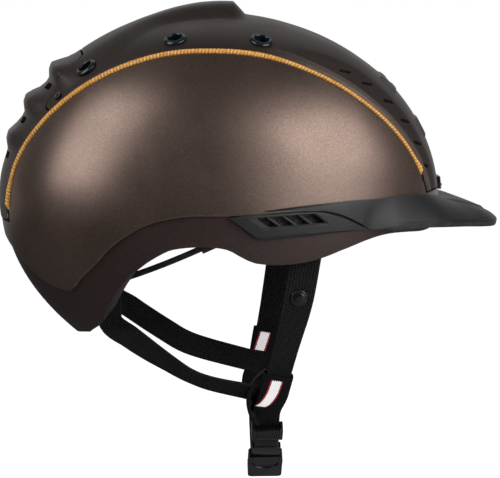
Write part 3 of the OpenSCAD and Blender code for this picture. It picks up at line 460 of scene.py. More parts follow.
def markCreaseHighlight(piece):
    # how far each point lies on the strip between the crease and the cord, which takes a painted highlight
    x, y, z = np.array([v.co for v in piece.data.vertices]).T / mm
    uz = np.clip(z / crownH, -1, 1)
    k = tuck(uz)
    ux = x / (halfL * k)
    uy = (np.abs(y) / (halfW * k * egg(ux))) ** (shell["power"] / 2)
    psi = np.degrees(np.arctan2(uz, ux))
    v = np.degrees(np.arctan2(uy, np.hypot(ux, uz))) / (cordBeta(psi) - grooveTurn)
    mark = piece.data.attributes.new("band", "FLOAT", "POINT")
    mark.data.foreach_set("value", ease((v - relief["crease"] - 0.005) / 0.01) * ease((84 - psi) / 26))
    return piece


def buildCrownCover():
    fine = np.array([0.866, 0.872, 0.877, 0.882, 0.887, 0.892, 0.897, 0.903])
    v = np.unique(np.concatenate([np.linspace(-1, 1, 121), fine, -fine]))
    rows = np.concatenate([np.linspace(5.4, 81, 90), np.linspace(81.5, 92, 40), np.linspace(93, 146, 60)])
    piece = coverPart("crownCover", np.minimum(rows[:, None], seamPsi(v) - relief["gap"]), v)
    slots = [prism(longHole(9.0, 2.3), -8, 8, frameAt(coverU(psi, side * v), -side * relief["slotTurn"]))
             for psi, v in slotPlaces for side in (-1, 1)]
    return markCreaseHighlight(carve(piece, ventCutters(4.8, 6.2, -12) + slots))


ventLip = {"reach": 4.5, "rise": 3.3, "stand": 0.9, "sunk": 0.25}


def buildVentLips():
    # a low raised panel round each front vent
    lips = []
    for psi, half in frontVents:
        i, j = np.linspace(-1, 1, 61)[:, None], np.linspace(-1, 1, 31)[None, :]
        u = across(psi + ventLip["rise"] * j, np.degrees((half + ventLip["reach"]) / halfW) * i)
        crown = (ease((1 - np.abs(i)) / 0.06) * ease((1 - np.abs(j)) / 0.2)) ** 0.5
        outer = onShell(u, -ventLip["sunk"] + (ventLip["stand"] + ventLip["sunk"]) * crown)
        lip = skinSolid("lip", outer, onShell(u, -ventLip["sunk"] - 0.5))
        lips.append(carve(lip, [prism(longHole(2 * half, 6.2), -12, 12, frameAt(across(psi, 0.0)))]))
    return joined("frontVentLips", lips)


def buildRearLouvre():
    v = np.linspace(-1, 1, 121)
    rows = np.linspace(127, 183.4, 200)
    piece = coverPart("rearLouvre", np.maximum(rows[:, None], seamPsi(v) + relief["gap"]), v)
    return carve(piece, [prism(longHole(12, wide), -9, 6, frameAt(coverU(psi, v)))
                         for psi in louvrePlaces for v, wide in ((-0.44, 4.4), (0, 3.2), (0.44, 4.4))])


# cord: two strands twisted round each other
cordSize = {"diameter": 3.4, "off": -0.2, "pitch": 5.2, "front": 9.5, "rear": 182.0, "around": 16}


def buildCord(side):
    psi = np.linspace(cordSize["front"] + 1.2, cordSize["rear"] - 1.2, 900)
    u = across(psi, side * cordBeta(psi))
    ahead, behind = psi - cordSize["front"], cordSize["rear"] - psi
    sunk = ease((84 - psi) / 30)
    dive = 3.2 * (1 - ease((ahead - 1) / 3)) + 3.2 * (1 - ease((behind - 1) / 3))
    path = onShell(u, cordSize["off"] - dive - 0.45 * sunk)
    length = runLength(path)
    tangent = unit(np.gradient(path, axis=0))
    w = unit(np.cross(tangent, shellNormal(u)))
    n = np.cross(w, tangent)
    a = np.linspace(0, 2 * math.pi, cordSize["around"], endpoint=False)
    twist = 2 * math.pi * length / cordSize["pitch"]
    knot = (1 - 0.2 * sunk + 0.5 * ease((ahead - 1) / 2) * ease((8 - ahead) / 4)
            + 0.28 * ease((behind - 1) / 2) * ease((11 - behind) / 4))
    r = cordSize["diameter"] / 2 * knot[:, None] * (0.93 + 0.07 * np.abs(np.cos(a - side * twist[:, None])))
    loops = path[:, None] + r[..., None] * (np.cos(a)[:, None] * n[:, None] + np.sin(a)[:, None] * w[:, None])
    piece = loopSolid("cordRight" if side < 0 else "cordLeft", loops, 60)
    return mapLoops(piece, cordSize["around"], length * mm, -side * a / (2 * math.pi), True)


# side vent panels
panelKeys = [
    (2, 1.2, 1.9), (8, -3.8, 2.8), (14, -9, 3.4), (19, -12, 3.8), (30, -11.5, 4.4), (42, -10.8, 4.9), (52, -10.1, 4.7),
    (61, -9.4, 3.3), (69.5, -8.9, 0.3), (78, -8.6, -4.3), (85, -8.5, -8.0)]
panel = {"slots": 4, "bar": 0.2, "sunk": 0.9}
louvreField = np.array([(11.8, 1.6), (52.3, 3.5), (60.4, -2.8), (20.6, -4.7)])


def sideCutter(corners, low):
    # cuts straight in where the corners stand on the right side, with softened corners
    outline = []
    for i, corner in enumerate(corners):
        ends = []
        for toward in (corners[i - 1], corners[(i + 1) % len(corners)]):
            reach = toward - corner
            ends.append(corner + reach * min(0.3, 0.7 / np.linalg.norm(reach)))
        outline += [ends[0], (ends[0] + ends[1] + 2 * corner) / 4, ends[1]]
    u = direction(*np.array(outline).T)
    return loopSolid("cutter", [onShell(u, low), onShell(u, 6)])


def inField(across, down):
    # a place in the slanted field: 0 to 1 from its rear to its front end and from its top down
    a, b, c, d = louvreField
    return (1 - down) * ((1 - across) * a + across * b) + down * ((1 - across) * d + across * c)


def panelSlots(low, grow):
    cutters = []
    for i in range(panel["slots"]):
        left = 0.06 + i * 0.235 + panel["bar"] * 0.25 / 2 - grow + (0.03 if i == 0 else 0)
        right = 0.06 + (i + 1) * 0.235 - panel["bar"] * 0.25 / 2 + grow
        top, bottom = 0.06 - grow, 0.94 + grow
        corners = (left, top), (right, top), (right, bottom), (left, bottom)
        cutters.append(sideCutter([inField(*p) for p in corners], low))
    return cutters


def mirrorCopy(piece, name):
    mesh = piece.data.copy()
    mesh.name = name
    with edited(mesh) as bm:
        for v in bm.verts:
            v.co.y = -v.co.y
        bmesh.ops.reverse_faces(bm, faces=bm.faces)
    return placed(name, mesh)


def buildVentPanel():
    k = along(panelKeys, np.linspace(len(panelKeys) - 1, 0, 90))
    t = np.array([0, 0.03, 0.07, 0.12, 0.2, 0.3, 0.4, 0.5, 0.6, 0.7, 0.8, 0.87, 0.92, 0.96, 1])
    offs = np.interp(t, [0, 0.12, 0.35, 0.65, 0.92, 1], [0.2, 1.5, 1.5, 1.5, 1.5, 0.8])
    u = direction(k[:, :1] * np.ones_like(t), k[:, 1:2] + t * (k[:, 2:3] - k[:, 1:2]))
    piece = skinSolid("ventPanelRight", onShell(u, offs), onShell(u, np.where(t > 0.82, 0.3, -1.5)), sharp=40)
    carve(piece, [sideCutter(louvreField, 1.5 - panel["sunk"])])
    return carve(piece, panelSlots(-6, 0.0))


# peak
wingKeys = [
    (22, 5.5, 23, 5.2), (38, 7.2, 39, 5.5), (54, 8.5, 52, 5.2), (66, 9.1, 61, 3.9), (76, 9.6, 70, 0.8),
    (84, 9.7, 79, -4.0), (92, 9.6, 87, -8.2)]
brimKeys = [
    (103, 10.3, 104, 79.5, -7.0), (113, 10, 120, 69.5, -6.9), (122, 9, 137, 57, -8.1), (129, 7.3, 151, 42, -9.7),
    (134, 5.4, 163.4, 27, -11.6), (136.6, 4.1, 172.4, 13.5, -12.8), (200, 3.5, 176.4, 0, -13)]
peak = {"seat": 0.6, "lip": 0.12, "thick": 2.3, "ridge": 0.9, "ridgeHalf": 37.0, "ridgeFrom": 132.0, "ridgeTo": 168.0}


def peakPoint(k, wing):
    root = direction(k[0], k[1])
    if wing:
        side = direction(k[2], k[3])
        edge, edgeIn = onShell(side, peak["seat"] + peak["thick"]), onShell(side, peak["seat"])
    else:
        edge = np.array([k[2], -k[3], k[4]], float)
        out = np.array([edge[0] - halfL / 2, edge[1] * 1.2, 0])
        edgeIn = edge - 0.6 * out / np.linalg.norm(out) - np.array([0, 0, peak["thick"] + 0.4])
    return np.concatenate([onShell(root, peak["seat"] + 1.3), edge, onShell(root, peak["lip"]), edgeIn])


def bend(p, q, reach, drop, t):
    c = p + points(reach, reach, drop) * (q - p)
    return (1 - t) ** 2 * p + 2 * t * (1 - t) * c + t * t * q


def buildVisor():
    table = [peakPoint(k, True) for k in wingKeys] + [peakPoint(k, False) for k in brimKeys]
    s = np.linspace(0, len(table) - 1, 140)
    k = along(np.array(table), s)
    t = np.unique(np.concatenate([np.linspace(0, 1, 36), np.linspace(0.7, 1, 34)]))[None, :, None]
    top, edge, topIn, edgeIn = (k[:, None, i:i + 3] for i in (0, 3, 6, 9))
    # the wings swell, the brim's sides fall away in a hollow and its middle stays full
    i = s[:, None]
    reach = 0.93 + 0.04 * ease((i - 5) / 3)
    drop = 0.45 + 0.43 * ease((i - 4.5) / 3.5) - 0.3 * ease((i - 9.5) / 3)
    outer = bend(top, edge, reach, drop, t)
    tt = t[..., 0]
    left = (peak["ridgeTo"] - outer[..., 0]) / (peak["ridgeTo"] - peak["ridgeFrom"])
    half = peak["ridgeHalf"] * np.clip(left, 0, 1.2)
    lift = peak["ridge"] * ease((half - np.abs(outer[..., 1])) / 2.2) * ease((tt - 0.03) / 0.12) * ease((i - 7) / 1.5)
    rimGroove = np.exp(-((tt - 0.8) / 0.03) ** 2) - 0.6 * np.exp(-((tt - 0.89) / 0.03) ** 2)
    lift = lift - 0.7 * rimGroove * ease((i - 6) / 2) * (1 - 0.85 * ease((i - 10.5) / 1.5))
    outer = outer + np.stack([0 * lift, 0 * lift, lift], -1)
    inner = bend(topIn, edgeIn, reach, drop + 0.05, t)

    def both(half):
        return np.concatenate([half, mirrored(half[:-1])[::-1]], 0)
    return skinSolid("visor", both(outer), both(inner), sharp=50)


# webbing: points down the middle, as the solids have them
webbing = {"width": 15.0, "topWidth": 18.6, "thick": 1.3, "ply": 1.8, "joinAt": 9.8}
buckle = {"slope": 45.0, "at": (27.6, -23.2, -157.4), "plyUp": 2.6, "strapUp": -1.45, "loopUp": -1.4, "window": -3.8}
slope = math.radians(buckle["slope"])
buckleDir = np.array([0, math.cos(slope), -math.sin(slope)])
buckleUp = np.array([0, math.sin(slope), math.cos(slope)])
alongX = np.array([1.0, 0, 0])


def onBuckle(y, up=0.0, x=0.0):
    return np.array(buckle["at"]) + np.array([x, 0, 0]) + y * buckleDir + up * buckleUp


frontPath = np.array([
    (49, -88.6, -17), (47.3, -88.6, -27), (45.6, -87.6, -38), (43.9, -86, -49), (41.8, -83.4, -60), (39.6, -80, -70),
    (37.4, -76, -80), (35.2, -71.6, -90), (33, -66.6, -100), (31, -61.4, -109.5), (29.2, -56, -119)]
    + [onBuckle(y, buckle["plyUp"]) for y in (-40, -30, -23.5, -15.5)])
leftPath = np.concatenate([mirrored(frontPath[:12]), [
    (27.8, 43.6, -135), (27.6, 35.6, -144.6), (27.6, 27, -154), (27.6, 18.4, -162.6), (27.6, 10.6, -169.6),
    (27.6, 4, -174.6), (27.6, -1, -176.4), (27.6, -5.4, -175.9)]
    + [onBuckle(y, buckle["strapUp"]) for y in (20.9, 18.1)]])


def facing(path):
    ahead = np.concatenate([path[1:], path[-1:]])
    behind = np.concatenate([path[:1], path[:-1]])
    return np.cross(unit(ahead - behind), alongX)


joinDir = unit(frontPath[10] - frontPath[9])
joinOut = np.cross(joinDir, alongX)
joinPoint = along(frontPath, webbing["joinAt"]) - (webbing["ply"] + 0.2) * joinOut


def joinedAt(t, drop):
    drop = math.radians(drop)
    return joinPoint + t * (math.cos(drop) * alongX + math.sin(drop) * joinDir)


linerOutLow = shell["lowOff"] - 2.0 - 0.3 - 0.5
rearPath = np.array(
    [onShell(direction(x, z), linerOutLow - k) for x, z, k in ((-88, -53, 7.4), (-80, -60, 11.4))]
    + [(-69, -56.4, -68), (-57.5, -59.2, -76.6), (-46, -60.4, -84.8), (-34, -60.8, -92.8), (-22, -61.1, -100.2),
       (-8, -61.8, -105.6)] + [joinedAt(t, drop) for t, drop in ((-16, 20), (-7, 26), (1, 30))])
toRight = np.array([0, -1.0, 0])
rearFaces = unit(toRight + ease((np.arange(len(rearPath)) - 4) / 5)[:, None] * (joinOut - toRight))


def twisted(path, faces, turn, middle=5.6, reach=2.4):
    # the strap rolls over a little between its ends
    tangent = unit(np.gradient(path, axis=0))
    angle = np.radians(turn) * np.exp(-((np.arange(len(path)) - middle) / reach) ** 2)[:, None]
    return faces * np.cos(angle) + np.cross(tangent, faces) * np.sin(angle)


def flatStrip(name, path, normals, width, thick, steps=6):
    # a woven strip with rounded selvedges; its map runs in metres along and across it
    i = np.linspace(0, len(path) - 1, (len(path) - 1) * steps + 1)
    line, faces = along(path, i), unit(along(normals, i))
    tangent = unit(np.gradient(line, axis=0))
    side = unit(np.cross(faces, tangent))
    up = np.cross(tangent, side)
    width = width if np.isscalar(width) else np.interp(i, np.arange(len(width)), width)[:, None, None]
    edge = np.array([-1, -0.97, -0.9, -0.6, -0.3, 0, 0.3, 0.6, 0.9, 0.97, 1])
    half = np.array([0.3, 0.72, 0.96, 1, 1, 1, 1, 1, 0.96, 0.72, 0.3])
    profile = np.concatenate([np.stack([edge, half], -1), np.stack([edge[::-1], -half[::-1]], -1)])
    loops = (line[:, None] + profile[:, :1] * width / 2 * side[:, None] + profile[:, 1:] * (thick / 2) * up[:, None])
    return mapLoops(loopSolid(name, loops, 50), len(profile), runLength(line) * mm,
                    profile[:, 0] * float(np.min(width)) / 2 * mm)


# elastic sleeves round the straps, each with a pale reflecting strip edged in crimson
sleeve = {
    "right": (8.0, 10.7), "left": (7.4, 11.3), "wide": 18.6, "deep": 5.6, "wall": 0.9, "lean": -2.2, "sink": 0.9,
    "stripeHalf": 3.9, "stripeUp": 0.14, "stripeThick": 0.4}
stripRight = [(8.28, -0.4), (8.7, -0.6), (9.1, -1.0), (9.5, -2.0), (9.8, -3.3), (10.05, -4.8), (10.22, -6.6)]
stripLeft = [(7.72, 0.9), (8.0, 1.3), (8.3, 1.8), (8.6, 2.3), (8.9, 2.8)]


def beside(path, i, across, up):
    # points beside and above a strap's middle line
    faces = unit(along(facing(path), i))
    ahead = unit(along(path, np.minimum(i + 0.02, len(path) - 1)) - along(path, i - 0.02))
    return along(path, i) + across[..., None] * unit(np.cross(faces, ahead)) + up[..., None] * faces


def buildSleeve(name, path, start, end):
    i = np.linspace(start, end, 40)[:, None]
    lean = sleeve["lean"] * ease((i - 9.2) / 1.6)
    flare = 0.5 * np.exp(-((i - start) / 0.08) ** 2) + 0.5 * np.exp(-((end - i) / 0.08) ** 2)
    skins = []
    for inset in (0.0, sleeve["wall"]):
        w, h, r = sleeve["wide"] / 2 - inset, sleeve["deep"] / 2 - inset, 1.5 - inset * 0.8
        ring = np.array([(sx * (w - r) + r * math.cos(c), sy * (h - r) + r * math.sin(c))
                         for k, (sx, sy) in enumerate(((1, 1), (-1, 1), (-1, -1), (1, -1)))
                         for c in np.radians(np.linspace(0, 90, 5)) + k * math.pi / 2])
        wave = 0.12 * np.sin(i * 23 + ring[:, 0] * 0.9)
        skins.append(beside(path, i + 0 * wave, ring[:, 0] + lean,
                            ring[:, 1] * (1 + 0.1 * flare) - sleeve["sink"] + wave))
    # the wall's outer and inner face
    outer, inner = skins
    loops = np.concatenate([inner[:1], outer, inner[::-1]], 0)
    rows, cols = loops.shape[:2]
    return newObject(name, loops.reshape(-1, 3), gridFaces(rows - 1, cols), 50)


def buildStripe(name, path, line, mirror):
    # follows the sleeve's outer face; the map runs along it in metres and across it from -1 to 1
    s = np.linspace(0, len(line) - 1, 60)
    key = along(line, s)
    t = np.linspace(-1, 1, 17)
    ragged = 0.22 * np.sin(t * 31) * np.exp(-(s[:, None] / 1.2) ** 2)
    across = key[:, 1:] * (-1 if mirror else 1) + t * sleeve["stripeHalf"]
    lift = sleeve["deep"] / 2 - sleeve["sink"] + sleeve["stripeUp"] + 0 * across
    outer, inner = (beside(path, key[:, :1] + ragged * 0.25, across, lift - low) for low in (0, sleeve["stripeThick"]))
    return mapLoops(skinSolid(name, outer, inner, sharp=60), 2 * len(t), runLength(outer[:, 8]) * mm,
                    np.concatenate([t, t[::-1]]))


# where the rear webbing turns back under the front strap
turnBack = np.array([
    (26.0, -58.5, -98.5), (20.4, -58.5, -103.2), (16.6, -58.3, -109.2), (15.0, -57.4, -116.0), (15.3, -56, -122.6),
    (17.4, -54.5, -128.2), (20.6, -52.6, -132.2)])


# ladder lock: two cheeks, a toothed bar and a smooth roll
lock = {"half": 9.75, "from": -29.0, "to": -18.0, "low": -3.2, "high": 4.8, "teeth": 12}


def brick(low, high, radius, segments=3):
    # a block with rounded edges in the buckle's own frame
    mesh = bpy.data.meshes.new("brick")
    low, high = np.array(low, float), np.array(high, float)
    with edited(mesh) as bm:
        bmesh.ops.create_cube(bm, size=1.0)
        for v in bm.verts:
            v.co = Vector((low + high) / 2 + np.array(v.co) * (high - low))
        bmesh.ops.bevel(bm, geom=bm.edges[:], offset=radius, offset_type="OFFSET", segments=segments, profile=0.5,
                        affect="EDGES", clamp_overlap=True)
        for v in bm.verts:
            v.co = Vector(onBuckle(v.co[1], v.co[2], v.co[0]) * mm)
    return placed("brick", mesh)


def buildLadderLock():
    h, rear, front, low, high = (lock[k] for k in ("half", "from", "to", "low", "high"))
    parts = [brick((side * (h - 0.85) - 0.85, rear + 0.3, low), (side * (h - 0.85) + 0.85, front, high), 0.8)
             for side in (-1, 1)]
    for start, end, bottom, top, reach, *edge in (
            (rear + 0.2, rear + 4.6, low + 0.1, -0.5, -0.4, 0.7), (front - 4.6, front, low - 0.3, 1.0, 0.1, 2.0, 6),
            (rear + 1.0, front - 1.2, 3.9, high, -0.4, 0.4), (-24.4, -22.0, 0.1, 1.5, -0.4, 0.6)):
        parts.append(brick((-h - reach, start, bottom), (h + reach, end, top), *edge))
    step = 2 * (h - 1.2) / lock["teeth"]
    for k in range(lock["teeth"]):
        x = -h + 1.2 + step * (k + 0.5)
        parts.append(brick((x - 0.42, rear - 0.4, low - 1.0), (x + 0.42, rear + 5.2, -0.4), 0.3, 2))
    return joined("ladderLock", parts)


# foam liner
liner = {"thick": 19.8, "thin": 14.0, "rows": 96}
linerOutTop = shell["seatOff"] - 2.0 - 0.3 - 1.2
ring = {"radius": 75.0, "tilt": 23.8, "nape": (-84.0, 0.0, -51.0)}
tilt = math.radians(ring["tilt"])
ringAxes = np.array([[math.cos(tilt), 0, math.sin(tilt)], [0, 1, 0], [-math.sin(tilt), 0, math.cos(tilt)]])
ringCentre = np.array(ring["nape"]) + ring["radius"] * ringAxes[0]


def inRing(points):
    return ringCentre + np.asarray(points, float) @ ringAxes


def linerIn(uz):
    return linerOutTop - liner["thick"] + liner["thin"] * ease(-uz / 0.75)


def buildLiner():
    a = np.linspace(0, 180, liner["rows"] // 2 + 1)
    low, high = rimHeight(a), lapHeight(a)
    t = np.linspace(0, 0.995, 14)
    u = fromTurn(a[:, None], low[:, None] + t * (high - low)[:, None])
    top = np.broadcast_to(np.array([0, -0.0001, 1.0]), (len(a), 40, 3))
    u = np.concatenate([u, slerp(fromTurn(a, high)[:, None, :], top, np.linspace(0, 0.99999, 40)[None, :, None])], 1)
    outer = onShell(u, np.repeat([linerOutLow, linerOutTop], (14, 40)))
    piece = skinSolid("impactLiner", wholeRing(outer), wholeRing(onShell(u, linerIn(u[..., 2]))), True)
    vents = [prism(longHole(11.6, 4.8), -50, 6, frameAt(coverU(psi, v)))
             for psi in louvrePlaces for v in (-0.42, 0, 0.42)]
    dial = [[(x, y, z) for x, y in ((-121, -24), (-78, -24), (-78, 24), (-121, 24))] for z in (-60, 18)]
    return carve(piece, ventCutters(5.3, 8.2, -50) + vents + [loopSolid("cutter", inRing(dial))])


pad = {"gap": 1.6, "thick": 5.0}
cradle = {"in": 70.5, "pad": 5.0}
padPlaces = {
    "brow_pad": (-48, 48, -2, 15), "crown_pad": (15, 345, 58, 76), "side_pad_right": (-150, -66, 8, 30),
    "side_pad_left": (66, 150, 8, 30), "back_pad": (160, 200, 3, 27)}


def ownName(node):
    return "".join(w.capitalize() if k else w for k, w in enumerate(node.split("_")))


def swell(i, r, end, power):
    # how far a pad's face stands up, 0 at its edges and 1 inside
    along, up = (np.sin(np.pi * np.clip(k, cut, 1 - cut)) for k, cut in ((i, end), (r, 0.02)))
    return along ** power * up ** 0.45


def buildPad(node):
    start, end, low, high = padPlaces[node]
    i, r = np.linspace(0, 1, 91)[:, None], np.linspace(0, 1, 31)
    turn, rise = np.radians(start + (end - start) * i), np.radians(low + (high - low) * r)
    d = points(np.cos(rise) * np.cos(turn), np.cos(rise) * np.sin(turn), np.sin(rise))
    back = linerIn(d[..., 2]) - pad["gap"]
    front = back - 0.6 - (pad["thick"] - 0.6) * swell(i, r, 0.004, 0.3)
    return skinSolid(ownName(node), onShell(d, front), onShell(d, back), sharp=70)


def buildNapePad():
    # crowned foam on the cradle's inner face, in the head ring's own frame
    turn = np.radians(np.linspace(-27, 27, 61))[:, None]
    z = np.linspace(-14, 9, 25)
    i, r = (turn + math.radians(27)) / math.radians(54), (z + 14) / 23
    channel = 1 - 0.35 * np.exp(-((i - 0.5) / 0.02) ** 2)
    back = cradle["in"] - 0.3
    front = back - 0.5 - (cradle["pad"] - 0.5) * swell(i, r, 0.01, 0.35) * channel
    front, back = (inRing(points(-radius * np.cos(turn), radius * np.sin(turn), z)) for radius in (front, back))
    return skinSolid("napePad", front, back, sharp=70)


# materials
def feed(inputs, values):
    # links a socket, or sets a plain number or colour
    for label, value in values.items():
        if isinstance(value, bpy.types.NodeSocket):
            value.id_data.links.new(value, inputs[label])
        else:
            inputs[label].default_value = (*value, 1) if isinstance(value, tuple) else value


def newNode(tree, kind, **settings):
    node = tree.nodes.new("ShaderNode" + kind)
    for key, value in settings.items():
        setattr(node, key, value)
    return node


def add(kind, values, **settings):
    # a node in the tree of the sockets that it takes
    tree = next(v.id_data for v in values.values() if isinstance(v, bpy.types.NodeSocket))
    node = newNode(tree, kind, **settings)
    feed(node.inputs, values)
    return node.outputs


def calc(operation, *values):
    return add("Math", dict(enumerate(values)), operation=operation)[0]


def times(a, b):
    return calc("MULTIPLY", a, b)


def wave(value, rate=math.pi):
    return calc("ABSOLUTE", calc("SINE", times(value, rate)))


def ramp(value, low, high, toLow=0.0, toHigh=1.0):
    values = {"Value": value, "From Min": low, "From Max": high, "To Min": toLow, "To Max": toHigh}
    return add("MapRange", values, interpolation_type="SMOOTHSTEP")["Result"]


def tint(factor, first, second, mode="MIX"):
    return add("Mix", {0: factor, 6: first, 7: second}, data_type="RGBA", blend_type=mode)[2]


def noise(vector, scale, detail=2.0, roughness=0.5):
    return add("TexNoise", {"Scale": scale, "Detail": detail, "Roughness": roughness, "Vector": vector})["Fac"]


def place(tree, kind="Object"):
    return newNode(tree, "TexCoord").outputs[kind]


def parts(vector):
    return add("SeparateXYZ", {0: vector})


def effect(name, takes, gives):
    # a shared group: vectors and numbers in, numbers out
    tree = bpy.data.node_groups.new(name, "ShaderNodeTree")
    for label, value in takes.items():
        kind = "NodeSocketVector" if value is None else "NodeSocketFloat"
        socket = tree.interface.new_socket(label, in_out="INPUT", socket_type=kind)
        if value is not None:
            socket.default_value = value
    for label in gives:
        tree.interface.new_socket(label, in_out="OUTPUT", socket_type="NodeSocketFloat")
    return tree, tree.nodes.new("NodeGroupInput").outputs, tree.nodes.new("NodeGroupOutput").inputs


def use(group, **values):
    return add("Group", values, node_tree=group)


def makeFlake():
    # fine metal flakes in lacquer: each cell catches the light a little differently
    tree, takes, gives = effect("metalFlake", {"Vector": None, "Scale": 2400.0, "Amount": 0.3}, ["Factor", "Height"])
    cells = add("TexVoronoi", {"Vector": takes["Vector"], "Scale": takes["Scale"]})
    apart = add("SeparateColor", {"Color": cells["Color"]})
    spark = calc("POWER", apart[0], 2.2)
    swing = times(calc("SUBTRACT", spark, 0.31), takes["Amount"])
    feed(gives, {"Factor": calc("ADD", swing, 1.0), "Height": apart[1]})
    return tree


def makeGrain():
    # the fine pebbled texture of moulded plastic
    tree, takes, gives = effect("mouldGrain", {"Vector": None, "Scale": 900.0}, ["Height", "Mottle"])
    at = takes["Vector"]
    cells = add("TexVoronoi", {"Vector": at, "Scale": takes["Scale"]}, feature="SMOOTH_F1")
    fine = noise(at, times(takes["Scale"], 1.7))
    feed(gives, {"Height": calc("ADD", cells["Distance"], times(fine, 0.5)),
                       "Mottle": noise(at, 26.0, 4.0)})
    return tree


def makeEdgeWearAndHighlight():
    # how sharply the surface turns outward, for rubbed edges with a painted highlight along them
    tree, takes, gives = effect("rubbedEdge", {"Vector": None, "Reach": 1.0}, ["Mask"])
    mask = times(ramp(newNode(tree, "NewGeometry").outputs["Pointiness"], 0.505, 0.56), takes["Reach"])
    broken = ramp(noise(takes["Vector"], 160.0, 3.0), 0.25, 0.7)
    feed(gives, {"Mask": times(mask, broken)})
    return tree


def makeDust():
    # a thin veil of dust on what faces up
    tree, takes, gives = effect("dustVeil", {"Vector": None}, ["Mask"])
    up = ramp(parts(newNode(tree, "NewGeometry").outputs["Normal"])["Z"], 0.2, 0.95)
    patch = ramp(noise(takes["Vector"], 34.0, 5.0, 0.6), 0.42, 0.72)
    feed(gives, {"Mask": times(up, patch)})
    return tree


def makeWeave():
    # webbing: warp ribs along the strip crossed by weft, in metres of the strip's own map
    tree, takes, gives = effect("webWeave", {"Vector": None, "Warp": 0.0011, "Weft": 0.0013},
                                ["Height", "Gap", "Selvedge"])
    apart = parts(takes["Vector"])
    warp = calc("DIVIDE", apart["Y"], takes["Warp"])
    weft = calc("DIVIDE", apart["X"], takes["Weft"])
    row = calc("MODULO", calc("FLOOR", calc("ADD", warp, 100.0)), 2.0)
    over = wave(calc("ADD", weft, times(row, 0.5)))
    height = times(calc("POWER", over, 0.6), calc("POWER", wave(warp), 0.5))
    # the gap mask carries painted shade into the hollows of the weave
    feed(gives, {"Height": height, "Gap": ramp(height, 0.1, 0.7, 1.0, 0.0),
                       "Selvedge": ramp(calc("ABSOLUTE", apart["Y"]), 0.0062, 0.0068)})
    return tree


flakeGroup, grainGroup, edgeWearAndHighlightGroup, dustGroup, weaveGroup = makeFlake(), makeGrain(), makeEdgeWearAndHighlight(), makeDust(), makeWeave()


def paint(name, recipe, *values):
    # a material from a recipe that gives the shader's inputs and its relief's height, strength and depth
    material = bpy.data.materials.new(name)
    material.use_nodes = True
    tree = material.node_tree
    inputs, relief = recipe(tree, place(tree), *values)
    if relief:
        inputs["Normal"] = add("Bump", dict(zip(("Height", "Strength", "Distance"), relief)))["Normal"]
    feed(tree.nodes["Principled BSDF"].inputs, inputs)
    return material


def wearAndEdgeHighlight(at, mottle, reach, light, dark, edge):
    # two mottled tones, with a lighter third where the edges are rubbed and carry a painted highlight
    return tint(use(edgeWearAndHighlightGroup, Vector=at, Reach=reach)["Mask"], tint(ramp(mottle, 0.3, 0.7), light, dark), edge)


def lacquer(tree, at, light, dark, edge, metallic, roughness, flakes, band=None):
    flake = use(flakeGroup, Vector=at, Scale=flakes[0], Amount=flakes[1])
    coarse = use(flakeGroup, Vector=at, Scale=flakes[0] * 0.55, Amount=flakes[1] * 0.4)
    tone = wearAndEdgeHighlight(at, noise(at, 9.0, 3.0), 0.5, light, dark, edge)
    if band:
        # painted highlight: the strip between the crease and the cord is made lighter in the colour
        tone = tint(newNode(tree, "Attribute", attribute_name="band").outputs["Fac"], tone, band)
    sparkle = times(flake["Factor"], coarse["Factor"])
    grey = add("CombineColor", {0: sparkle, 1: sparkle, 2: sparkle})[0]
    mottle = use(grainGroup, Vector=at, Scale=1300.0)["Mottle"]
    return {"Base Color": tint(1.0, tone, grey, "MULTIPLY"), "Metallic": metallic,
            "Roughness": ramp(mottle, 0.3, 0.7, roughness - 0.03, roughness + 0.04)}, (flake["Height"], 0.05, 0.0001)


def moulded(tree, at, light, dark, edge, roughness, scale, strength):
    grain = use(grainGroup, Vector=at, Scale=scale)
    tone = wearAndEdgeHighlight(at, grain["Mottle"], 0.6, light, dark, edge)
    tone = tint(times(use(dustGroup, Vector=at)["Mask"], 0.03), tone, (0.4, 0.38, 0.35))
    rough = ramp(grain["Mottle"], 0.25, 0.75, roughness - 0.05, roughness + 0.05)
    return {"Base Color": tone, "Roughness": rough}, (grain["Height"], strength, 0.00025)


def woven(tree, at, light, dark, warp, weft):
    weave = use(weaveGroup, Vector=place(tree, "UV"), Warp=warp, Weft=weft)
    dim, pale, fluff = (tuple(k * c for c in light) for k in (0.7, 1.6, 2.4))
    tone = tint(ramp(noise(at, 60.0, 3.0), 0.3, 0.7), light, dim)
    # painted shade: the gaps of the weave darken towards the dark tone
    tone = tint(times(weave["Gap"], 0.8), tone, dark)
    tone = tint(times(weave["Selvedge"], 0.35), tone, pale)
    tone = tint(ramp(noise(at, 5200.0, 1.0), 0.62, 0.8, 0.0, 0.35), tone, fluff)
    rough = ramp(weave["Height"], 0.0, 1.0, 0.9, 0.62)
    return {"Base Color": tone, "Roughness": rough, "Specular IOR Level": 0.25}, (weave["Height"], 1.0, 0.0006)


def braided(tree, at):
    # the ornamental cord: two leads twisted round each other, with painted shade in the grooves between leads and
    # between yarns, and pale flecks painted on the lead crests as highlights
    apart = parts(place(tree, "UV"))
    u, v = apart["X"], apart["Y"]
    strand = wave(calc("ADD", times(u, 1 / 0.0021), v))
    yarn = wave(calc("SUBTRACT", times(u, 1 / 0.0011), times(v, 3.0)))
    tone = tint(ramp(noise(at, 260.0), 0.35, 0.65), (0.9, 0.43, 0.06), (0.78, 0.33, 0.04))
    # painted shade in the grooves between the yarns and between the leads
    tone = tint(ramp(yarn, 0.0, 0.5, 0.3, 0.0), tone, (0.4, 0.14, 0.02))
    tone = tint(ramp(strand, 0.0, 0.3, 0.9, 0.0), tone, (0.3, 0.09, 0.015))
    # painted highlight: pale flecks on the crests of the leads
    fleck = times(ramp(strand, 0.86, 0.98), ramp(noise(at, 900.0, 1.0), 0.4, 0.6))
    tone = tint(fleck, tone, (0.95, 0.7, 0.4))
    height = calc("ADD", strand, times(yarn, 0.35))
    return {"Base Color": tone, "Roughness": 0.62}, (height, 0.7, 0.0004)


